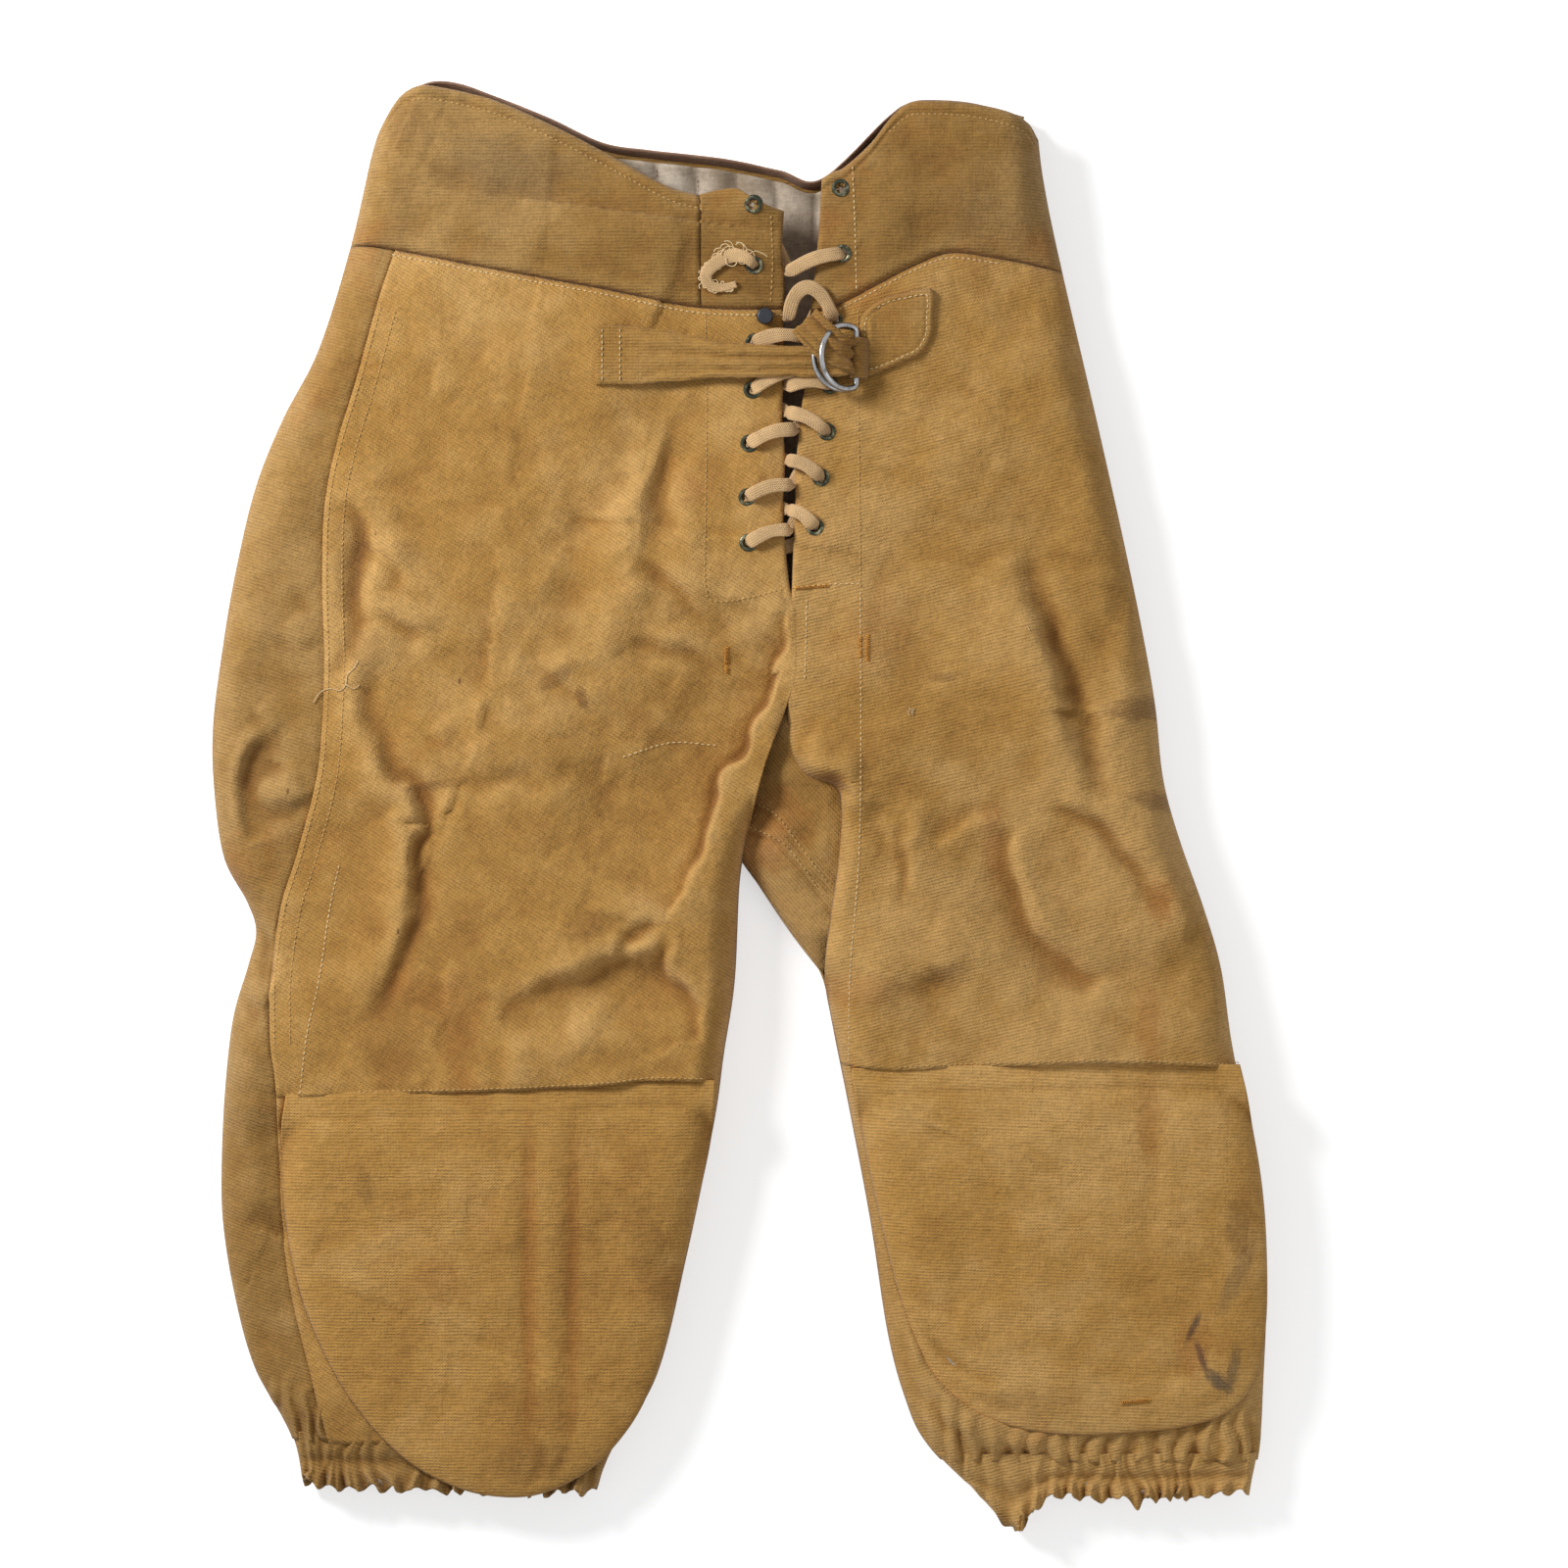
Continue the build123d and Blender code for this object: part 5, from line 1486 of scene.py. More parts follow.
class AddLace(BuildStep):
    """Adds the flat lace, from its hidden end through both rows of eyelets"""

    bl_idname = "breeches.lace"
    bl_label = "Lace"

    def build(self, context):
        lace = settings("lace")
        path = nurbs_line("lace_line", LACE_ROUTE)
        path = spaced(path, 0.9)
        along = frames_along(path)
        steep = np.abs(along[:, 2])
        flat = np.cross(along, (0, 0, 1.0))
        weight = np.clip(1 - steep, 0.02, 1)[:, None] ** 2
        level = steep < 0.55
        across = flat * weight
        for k in range(1, len(across)):
            if across[k] @ across[k - 1] < 0 and not level[k]:
                across[k] = -across[k]
        window = np.ones(7) / 7
        across = np.column_stack([np.convolve(np.pad(across[:, c], 3, "edge"), window,
                                              "valid") for c in range(3)])
        z = path[:, 2]
        through_cloth = np.exp(-(((z - 30.6) / 2.3) ** 2))
        twist = 0.16 * lumps(np.arange(len(path)) * 1.0, np.zeros(len(path)), 14, 51)
        across = across + np.cross(along, across) * twist[:, None]
        width = lace.width / MM * (1 - 0.42 * through_cloth) * (1 + 0.06 * lumps(np.arange(len(path)) * 1.0, np.zeros(len(path)), 9, 52))
        thickness = lace.thickness / MM * (1 + 0.7 * through_cloth)
        points, faces, uv = ribbon(path, across, width, thickness)
        piece = make("laced_lace", points, faces, finish_of("woven_lace"), uv=uv)
        tidy_mesh(piece, 1e-6)
        finish_piece(piece, "lace", "lace")


class AddFrontLegs(BuildStep):
    """Adds the two front leg panels with their folds"""

    bl_idname = "breeches.front_legs"
    bl_label = "Front legs"

    def build(self, context):
        thick = settings("cloth").thickness / MM
        foot = lambda x: np.full(np.shape(x), -322.0)
        x, y = patch(outseam, panel_edge_right, knee_edge_right, waist_seam_right, close=("high",))
        upper = (x, y, thigh_right(x, y), False)
        x, y = patch(outseam, inner_right, foot, lambda q: knee_edge_right(q) + 6, step=2.6, close=("high",))
        z = under_pocket("right", x, y, thigh_right(x, y))
        right = grid_piece("front_leg_right_cloth", [upper, (x, y, z, False)],
                           finish_of("thigh_canvas_right"), thick)
        finish_piece(right, "canvas", "front_leg_right")
        declare_sheet(right, 300, 640)
        x, y = patch(panel_edge_left, outer_left, knee_edge_left, waist_seam_left, close=("low", "high"))
        upper = (x, y, thigh_left(x, y), False)
        foot = lambda v: np.full(np.shape(v), LEFT_PANEL_FOOT)
        x, y = patch(x_along(HEM_PANEL_LEFT), outer_left, foot, lambda q: knee_edge_left(q) + 6, step=2.2,
                     close=("low", "high"))
        z = under_pocket("left", x, y, thigh_left(x, y))
        left = grid_piece("front_leg_left_cloth", [upper, (x, y, z, False)], finish_of("thigh_canvas_left"),
                          thick)
        finish_piece(left, "canvas", "front_leg_left")
        declare_sheet(left, 300, 640)


class AddBackLegs(BuildStep):
    """Adds the two back leg panels; the right one wraps round to the outer seam on the front"""

    bl_idname = "breeches.back_legs"
    bl_label = "Back legs"

    def build(self, context):
        thick = settings("cloth").thickness / MM
        centre_right = x_along([(25, 285), (25, 112)] + CENTRE_SEAM[1:-1] + INNER_RIGHT[3:])
        centre_left = x_along([(25, 285), (25, 112)] + CENTRE_SEAM[1:-1] + INNER_LEFT[3:])
        waist = lambda x: np.full(np.shape(x), 282.0)
        foot = lambda x: np.full(np.shape(x), -320.0)
        x, y = patch(outer_right, centre_right, foot, waist, step=2.8, close=("low", "high"))
        under = (x, y, rear(x, y, -1), True)
        x, y = patch(outer_right, lambda v: outseam(v) + 3.5, foot, waist_seam_right, step=1.9,
                     close=("low",))
        wrap = (x, y, side_right(x, y) - 1.5 * ramp((x - outseam(y) + 2) / 3), False)
        right = grid_piece("back_leg_right_cloth", [under, wrap], finish_of("rear_canvas_shaded"), thick)
        finish_piece(right, "canvas", "back_leg_right")
        declare_sheet(right, 360, 640)
        foot = lambda v: np.full(np.shape(v), LEFT_PANEL_FOOT)
        x, y = patch(centre_left, outer_left, foot, waist, step=2.8, close=("low", "high"))
        left = grid_piece("back_leg_left_cloth", [(x, y, rear(x, y, 1), True)], finish_of("rear_canvas_shaded"),
                          thick)
        finish_piece(left, "canvas", "back_leg_left")
        declare_sheet(left, 300, 640)
        ends = [(18, 62), (6, 25), (0, 0), (-4, -18), (10.5, -41), (26, -64), (41.5, -84)]
        low = x_along(ends)
        high = lambda v: panel_left_edge(v) + 7
        x, y = patch(low, high, lambda q: np.full(np.shape(q), -83.0), lambda q: np.full(np.shape(q), 58.0),
                     step=1.6, close=("low",))
        share = (x - low(y)) / np.maximum(high(y) - low(y), 1)
        z = SIDE_Z - 3 + 14.5 * rounded(share, 0.8) * ramp((y + 96) / 40) + 0.9 * lumps(x, y, 12, 41)
        for seam in ([(-6, 8), (16.2, -4.6), (29.6, -21.8), (46, -44)],
                     [(-6, -9), (14.3, -16.1), (24, -23), (48, -55)]):
            d, _ = beside(smooth(seam), x, y)
            z += 1.0 * np.exp(-(((d + 2.6) / 2.4) ** 2)) - 1.3 * np.exp(-((d / 1.1) ** 2))
        seams = []
        for seam, aside in (([(2, 2), (16.2, -4.6), (29.6, -21.8), (42, -38)], 2.2),
                            ([(2, -11), (14.3, -16.1), (24, -23), (40, -45)], 2.2)):
            line = smooth(seam, 1.3)
            run = frames_along(line)
            line = line - aside * np.column_stack([run[:, 1], -run[:, 0]])
            row = [np.argmin(np.hypot(x - p[0], y - p[1])) for p in line]
            seams.append(np.column_stack([line, z.ravel()[row] + 0.3]))
        stitched("gusset_stitches", seams, "cloth_thread")
        gusset = grid_piece("crotch_gusset_cloth", [(x, y, z, False)], finish_of("gusset_canvas"), thick)
        finish_piece(gusset, "canvas", "crotch_gusset")
        declare_sheet(gusset, 90, 150)


class AddWaist(BuildStep):
    """Adds the padded waist fronts, the fly tab and the waist back"""

    bl_idname = "breeches.waist"
    bl_label = "High waist"

    def build(self, context):
        thick = settings("cloth").thickness / MM
        finish = finish_of("waist_canvas")
        seam_side = lambda y: np.full(np.shape(y), TAB_SEAM_X)
        x, y = patch(outer_right, seam_side, waist_seam_right, waist_top_right, close=("low",),
                     rows=("high",))
        right = grid_piece("waist_front_right_cloth", [(x, y, waist_right(x, y), False)], finish, 3.4)
        finish_piece(right, "canvas", "waist_front_right")
        x, y = patch(panel_edge_left, outer_left, waist_seam_left, waist_top_left, close=("low", "high"),
                     rows=("high",))
        left = grid_piece("waist_front_left_cloth", [(x, y, waist_left(x, y), False)], finish, 3.4)
        finish_piece(left, "canvas", "waist_front_left")
        x, y = patch(seam_side, panel_edge_right, waist_seam_right, tab_top, step=1.3, close=("high",),
                     rows=("high",))
        tab = grid_piece("fly_tab_cloth", [(x, y, tab_height(x, y), False)], finish, 2 * thick)
        finish_piece(tab, "canvas", "fly_tab")
        declare_sheet(tab, 46, 62)
        x, y = patch(outer_right, outer_left, lambda q: np.full(np.shape(q), 280.0), back_top, step=2.6,
                     close=("low", "high"))
        z = rear(x, y) + 1.6 * ramp((y - back_top(x) + 14) / 14)
        back = grid_piece("waist_back_cloth", [(x, y, z, True)], finish_of("waist_canvas"), thick)
        finish_piece(back, "canvas", "waist_back")
        declare_sheet(back, 360, 100)


class AddSeatLining(BuildStep):
    """Adds the quilted seat lining with its puffed channels, and the binding along the back's top edge"""

    bl_idname = "breeches.seat_lining"
    bl_label = "Quilted lining"

    channels: IntProperty(name="Channels", description="Quilted channels across the lining", default=14,
                          min=2)

    def build(self, context):
        low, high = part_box("seat_lining")
        left, right, foot = low.x / MM, high.x / MM, low.y / MM
        pitch = (right - left) / self.channels
        edge = lambda value: (lambda y: np.full(np.shape(y), value))
        x, y = patch(edge(left), edge(right), edge(foot), lambda q: back_top(q) - 5.5, step=1.5)
        lean = 0.06 * (y - foot)
        phase = (x - left + lean + 0.8 * lumps(x, y, 26, 61)) / pitch
        puff = np.abs(np.sin(np.pi * phase)) ** 0.55
        across = 1 - 0.35 * np.exp(-(((y % 74) - 37) / 3) ** 2)
        z = 5.6 + 3.4 * puff * across + 0.3 * lumps(x, y, 9, 62) + 1.6 * ramp((y - back_top(x) + 14) / 14)
        quilt = grid_piece("seat_lining_quilt", [(x, y, z, False)], finish_of("quilted_lining"), 0.9)
        finish_piece(quilt, "lining", "seat_lining", "seat_batting")
        seams = []
        for k in range(1, self.channels):
            v = np.arange(foot + 2, 366, 1.4)
            u = left + k * pitch - 0.06 * (v - foot)
            u = u - 0.8 * lumps(u, v, 26, 61)
            keep = v < back_top(u) - 6
            seams.append(np.column_stack([u, v, 5.75 + 1.6 * ramp((v - back_top(u) + 14) / 14)])[keep])
        stitched("lining_stitches", seams, "binding_thread", 0.9, 0.9, 0.8)
        rim = smooth([p for p in BACK_TOP if -172 <= p[0] <= 146], 1.5)
        rim = rim[np.argsort(rim[:, 0])]
        path = np.column_stack([rim[:, 0], rim[:, 1] - 1.2, 6.2 + 0.5 * lumps(rim[:, 0], rim[:, 1], 16, 63)])
        across = np.tile((0, 0.35, 1.0), (len(path), 1))
        points, faces, uv = ribbon(path, across, np.full(len(path), 8.4), np.full(len(path), 1.7))
        tape = make("back_binding_tape", points, faces, finish_of("binding_tape"), uv=uv)
        tidy_mesh(tape, 1e-6)
        finish_piece(tape, "binding", "back_binding")


KNEE_CREASES = [
    ([(-105, -150), (-107.5, -230), (-104, -322)], -1.3, 4.2, 0),
    ([(-83, -148), (-84, -240), (-87, -328)], -1.2, 4.0, 0),
    ([(-95, -150), (-96, -240), (-95, -330)], 1.0, 6, 0),
    ([(-160, -200), (-150, -260), (-138, -318)], 0.7, 16, 0),
    ([(-214, -170), (-206, -230), (-186, -292)], -0.8, 9, 0),
    ([(205, -134), (208, -180), (204, -240)], -0.9, 6, 0),
    ([(150, -150), (146, -210), (152, -280)], 0.6, 20, 0),
    ([(90, -262), (108, -280), (130, -292)], -2.4, 4.5, 0.6),
    ([(98, -288), (118, -298), (142, -306)], -2.0, 4, 0.6),
    ([(84, -240), (96, -250), (112, -254)], -1.6, 5, 0.6),
    ([(236, -292), (226, -284), (212, -282)], -1.5, 5, 0.5),
    ([(-104, -342), (-100, -332), (-98, -322)], -1.6, 3, 0),
    ([(-92, -342), (-90, -331), (-86, -322)], -1.4, 3, 0),
]
KNEES = {"right": (KNEE_RIM_RIGHT, knee_edge_right, 33.6), "left": (KNEE_RIM_LEFT, knee_edge_left, 33.2)}


def knee_outline(side, inset=0.0):
    """The knee pocket's outline, or a smaller one inside it."""
    rim = KNEES[side][0]
    outline = smooth(rim, 2.5)
    top = smooth([rim[-1], ((rim[0][0] + rim[-1][0]) / 2, (rim[0][1] + rim[-1][1]) / 2 + 1), rim[0]],
                 3.0)[1:-1]
    outline = np.vstack([outline, top])
    middle = (outline.min(0) + outline.max(0)) / 2
    half = (outline.max(0) - outline.min(0)) / 2
    return middle + (outline - middle) * (1 - inset / half)


def knee_height(side, x, y, d):
    """Height of a knee pocket's face, d inside its rim."""
    _, seam, level = KNEES[side]
    below = seam(x) - y
    height = level - 6.2 * ramp((below - 20) / 150)
    z = 23.0 + (height - 23.0) * np.maximum(rounded(d, 22),
                                            0.97 * ramp((34 - below) / 26) * rounded(np.maximum(d, below + 8), 10))
    extra = 0.9 * lumps(x, y, 60, 71) + 0.45 * lumps(x, y, 22, 72) + 0.14 * lumps(x, y, 7, 73)
    for line, tall, width, _ in prepared("creases", KNEE_CREASES):
        away, share = beside(line, x, y)
        extra = extra + tall * taper(share) * np.exp(-((away / width) ** 2))
    return z + extra * ramp(d / 12) * ramp(below / 14)


class AddKneePockets(BuildStep):
    """Adds the padded knee pockets, with the felt pad and the lining in each"""

    bl_idname = "breeches.knee_pockets"
    bl_label = "Knee pockets"

    def build(self, context):
        for side in KNEES:
            pocket = pillow(
                f"knee_pocket_{side}", knee_outline(side), 60, lambda x, y, d: knee_height(side, x, y, d),
                lambda x, y, d: 22.9 + 0 * x, finish_of(f"knee_canvas_{side}"),
            )
            finish_piece(pocket, "canvas", f"knee_panel_{side}")
            pad = pillow(
                f"knee_felt_{side}", knee_outline(side, 9), 20,
                lambda x, y, d: np.maximum(knee_height(side, x, y, d + 9) - 3.4, 24.2), lambda x, y,
                d: 24.0 + 0 * x,
                finish_of("felt"),
            )
            finish_piece(pad, "felt", f"knee_pad_{side}")
            back = pillow(
                f"knee_lining_{side}_cloth", knee_outline(side, 5), 12, lambda x, y, d: 23.6 + 0 * x,
                lambda x, y, d: 23.1 + 0 * x, finish_of("quilted_lining"),
            )
            finish_piece(back, "lining", f"knee_lining_{side}")
            width, length = np.ptp(knee_outline(side, 5), axis=0)
            declare_sheet(back, width, length)


CUFF_ENDS = {
    "right": (outer_right, inner_right, -316.0,
              [(-240, -338), (-222, -342), (-190, -344), (-120, -346), (-60, -346)], "rear_canvas_shaded"),
    "left": (inner_left, outer_left, -327.0,
             [(100, -345), (118, -352), (128, -360), (139, -367), (149, -357), (162, -349), (200, -350),
              (262, -347)],
             "thigh_canvas_left"),
}


def gathered_tube(side, inset, foot_rise, ruffle, rows=26, count=420):
    """Rings of points round a leg's end, front from x low to high and then back: x, y and z in mm."""
    inner, outer, top, hem, _ = CUFF_ENDS[side]
    foot = y_along(hem)
    around = np.linspace(0, 2, count, endpoint=False)[None, :]
    v = np.linspace(0, 1, rows)[:, None]
    share = np.where(around < 1, around, 2 - around)
    share = 0.6 * share + 0.4 * (0.5 - 0.5 * np.cos(np.pi * share))
    face = np.where(around < 1, 1.0, -1.0)
    pinch = np.exp(-(((v - 0.55) / 0.13) ** 2))
    flare = ramp((v - 0.6) / 0.4)
    height = 19.0 - 3.0 * v - 4.5 * pinch + 3.5 * flare - 2 * inset
    swell = ruffle * (0.8 + 0.5 * v + 2.1 * flare - 0.4 * pinch)
    y = np.full((rows, count), top)
    for _ in range(8):
        left, right = inner(y) + 0.8 + inset, outer(y) - 0.8 - inset
        x = left + share * (right - left)
        y = top + v * (foot(x) + foot_rise - top)
    tall = face * rounded(np.minimum(x - left, right - x) + 0.2, height / 2)
    turns = 2 * np.pi * x / PLEAT_PITCH + 2.2 * lumps(x, 20 * v + 0 * x + 40 * (face < 0), 14, 81)
    wave = np.sin(turns + 0.7 * np.sin(turns)) + 0.3 * np.sin(2.1 * turns + 1.0)
    z = SIDE_Z - 0.8 + tall * height / 2 + swell * wave * np.abs(tall)
    y = y + flare * ruffle * (1.9 * np.sin(turns + 0.8) + 1.3 * lumps(x, 0 * x + 40 * (face < 0), 5, 82))
    return x, y, np.maximum(z, 1.4 + inset)


class AddCuffs(BuildStep):
    """Adds the gathered leg ends, with the elastic inside each"""

    bl_idname = "breeches.cuffs"
    bl_label = "Gathered cuffs"

    def build(self, context):
        for side in CUFF_ENDS:
            x, y, z = gathered_tube(side, 0.0, 0.0, 1.0)
            points = np.stack([x, y, z], -1).reshape(-1, 3)
            relief = relief_of(z, 4).ravel()
            piece = make(f"cuff_{side}_cloth", points, quads(*x.shape, ring=True),
                         finish_of(CUFF_ENDS[side][4]), relief)
            tidy_mesh(piece, 1e-6)
            solid(piece, 1.2, even=False)
            finish_piece(piece, "canvas", f"cuff_{side}")
            declare_sheet(piece, 420, None)
            x, y, z = gathered_tube(side, 2.4, 2.5, 0.45, rows=8, count=160)
            points = np.stack([x, y, z], -1).reshape(-1, 3)
            band = make(f"cuff_elastic_{side}_band", points, quads(8, 160, ring=True), finish_of("elastic"))
            tidy_mesh(band, 1e-6)
            solid(band, 0.8, even=False)
            finish_piece(band, "elastic", f"cuff_elastic_{side}")
            declare_sheet(band, 320, None)


STRAP_TAB = np.array([(60.5, 244), (63, 249.5), (73, 256.5), (85, 259.5), (96.5, 261.5), (98, 258),
                      (97.5, 248), (97, 238),
                      (92, 229), (82, 224), (72, 219.6), (63, 216.8), (60.5, 219), (60.3, 232), (60.5, 244)],
                      float)


class AddBuckle(BuildStep):
    """Adds the waist strap, its tab and loop, and finishes the two rings and the snap"""

    bl_idname = "breeches.buckle"
    bl_label = "Strap and rings"

    def build(self, context):
        route = [(-72, 228, 34.4), (-50, 227.5, 34.6), (-30, 226.5, 35.4), (-14, 225.5, 37), (2, 224.5, 38.6),
                 (24, 224.5, 38.8), (42, 224.5, 38.7), (50.5, 225, 39.4), (54.4, 226, 43.2), (50.5, 228, 47),
                 (44, 232, 48.4), (38, 238, 48.6), (33, 243.5, 47.6)]
        path = smooth(route, 1.2)
        travel = np.r_[0, np.cumsum(np.linalg.norm(np.diff(path, axis=0), axis=1))]
        share = travel / travel[-1]
        wide = np.interp(share, [0, 0.12, 0.25, 0.4, 0.62, 0.75, 0.9, 1], [30, 29, 25, 18, 15, 16, 18, 17])
        along = frames_along(path)
        across = np.tile((0, 1.0, 0), (len(path), 1)) + np.interp(share, [0, 0.8, 1],
                                                                  [0, 0, 0.5])[:, None] * (1, 0, 0)
        across = across - along * (across * along).sum(1)[:, None]
        across = across / np.linalg.norm(across, axis=1)[:, None]
        up = np.cross(along, across)
        sign = np.sign(up[0, 2])
        up = up * sign
        columns = 26
        c = np.linspace(-1, 1, columns)
        gather = np.interp(share, [0, 0.1, 0.35, 0.6, 0.8, 1], [0.0, 0.15, 1.0, 1.0, 1.5, 1.9])
        pleat = gather[:, None] * (
            1.1 * np.exp(-(((c - 0.55) / 0.22) ** 2)) + 0.8 * np.exp(-(((c + 0.15) / 0.16) ** 2))
            - 0.7 * np.exp(-(((c - 0.2) / 0.12) ** 2)) - 0.5 * np.exp(-(((c + 0.6) / 0.14) ** 2))
        )
        roll = -1.0 * (np.abs(c) > 0.9) * gather[:, None]
        lift = pleat + roll + 0.25 * lumps(travel[:, None] + 0 * c, 30 * c + 0 * travel[:, None], 6, 91)
        grid = path[:, None] + across[:, None] * (c[None, :,
                                                    None] * wide[:, None,
                                                                 None] / 2) + up[:, None] * lift[..., None]
        relief = relief_of(lift, 3).ravel()
        uv = np.stack([np.broadcast_to(c / 2 + 0.5, lift.shape),
                       np.broadcast_to(travel[:, None] * 0.05, lift.shape)], -1)
        strap = make("waist_strap_cloth", grid.reshape(-1, 3), quads(len(path), columns, flip=sign < 0),
                     finish_of("trim_canvas"),
                     relief, uv.reshape(-1, 2))
        if strap.data.polygons[10].normal.z < 0:
            strap.data.flip_normals()
        solid(strap, 2.0)
        finish_piece(strap, "canvas", "waist_strap")
        declare_sheet(strap, 32, 165)
        outline = smooth(STRAP_TAB, 1.6)[:-1]
        tab = pillow(
            "strap_tab_cloth", outline, 22,
            lambda x, y, d: 33.2 + 2.3 * rounded(d, 2.2) + 0.35 * lumps(x, y, 12, 92) - 0.5 * np.exp(-(((d - 3.4) / 0.8) ** 2))
            + 0.8 * np.exp(-(((x - 66) / 2.0) ** 2)),
            lambda x, y, d: 32.6 + 0 * x, finish_of("trim_canvas"),
        )
        a = np.linspace(-0.2, 1.2, 34) * np.pi
        loop = np.column_stack([58.8 + 2.9 * -np.sin(a), np.full(34, 226.0), 36.9 - 4.4 * np.cos(a)])
        loop = np.vstack([[64, 226, 33.6], loop, [64.5, 226, 36.0]])
        points, faces, uv = ribbon(loop, np.tile((0, 1.0, 0), (len(loop), 1)), np.full(len(loop), 20.5),
                                   np.full(len(loop), 1.5))
        wrap = make("strap_tab_loop", points, faces, finish_of("trim_canvas"), uv=uv)
        tidy_mesh(wrap, 1e-6)
        finish_piece(tab, "canvas", "strap_tab")
        finish_piece(wrap, "canvas")
        for node, finish in (("ring_front", "ring_steel"), ("ring_back", "ring_steel"),
                             ("snap_cap", "snap_enamel"),
                             ("snap_socket", "snap_enamel")):
            repaint(node, finish)


def repaint(node, finish):
    """Gives a CAD node a better material."""
    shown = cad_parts[node]
    if not shown.material_slots:
        shown.data.materials.append(finish_of(finish))
    for holder in shown.material_slots:
        holder.material = finish_of(finish)


class AddEyelets(BuildStep):
    """Adds both rows of rolled eyelets, each turned with the cloth that it is in"""

    bl_idname = "breeches.eyelets"
    bl_label = "Eyelets"

    bore: FloatProperty(name="Bore", description="Radius of an eyelet's hole", unit="LENGTH", default=0.0026)
    depth: FloatProperty(name="Depth", description="Depth of an eyelet's barrel", unit="LENGTH",
                         default=0.0034)

    def build(self, context):
        for side, places in (("right", EYELETS_RIGHT), ("left", EYELETS_LEFT)):
            points, facing = [], []
            for x, y in places:
                if side == "right":
                    surface = tab_height if y > 252 else thigh_right
                else:
                    surface = waist_left if y > 252 else thigh_left
                around = np.array([[x, y], [x + 4, y], [x - 4, y], [x, y + 4], [x, y - 4]], float)
                z = surface(around[:, 0], around[:, 1])
                slope = Vector(((z[2] - z[1]) / 8, (z[4] - z[3]) / 8, 1)).normalized()
                points.append((x * MM, y * MM, float(np.mean(z)) * MM + 0.00025))
                facing.append(slope)
            mesh = bpy.data.meshes.new("eyelet_places")
            mesh.from_pydata(points, [], [])
            attribute = mesh.attributes.new("facing", "FLOAT_VECTOR", "POINT")
            attribute.data.foreach_set("vector", np.array(facing, np.float32).ravel())
            values = {"Bore": self.bore, "Depth": self.depth, "Material": finish_of("aged_brass")}
            row = grown(f"eyelet_row_{side}", mesh, "eyelet_row", values)
            finish_piece(row, "eyelet_brass", f"eyelets_{side}")


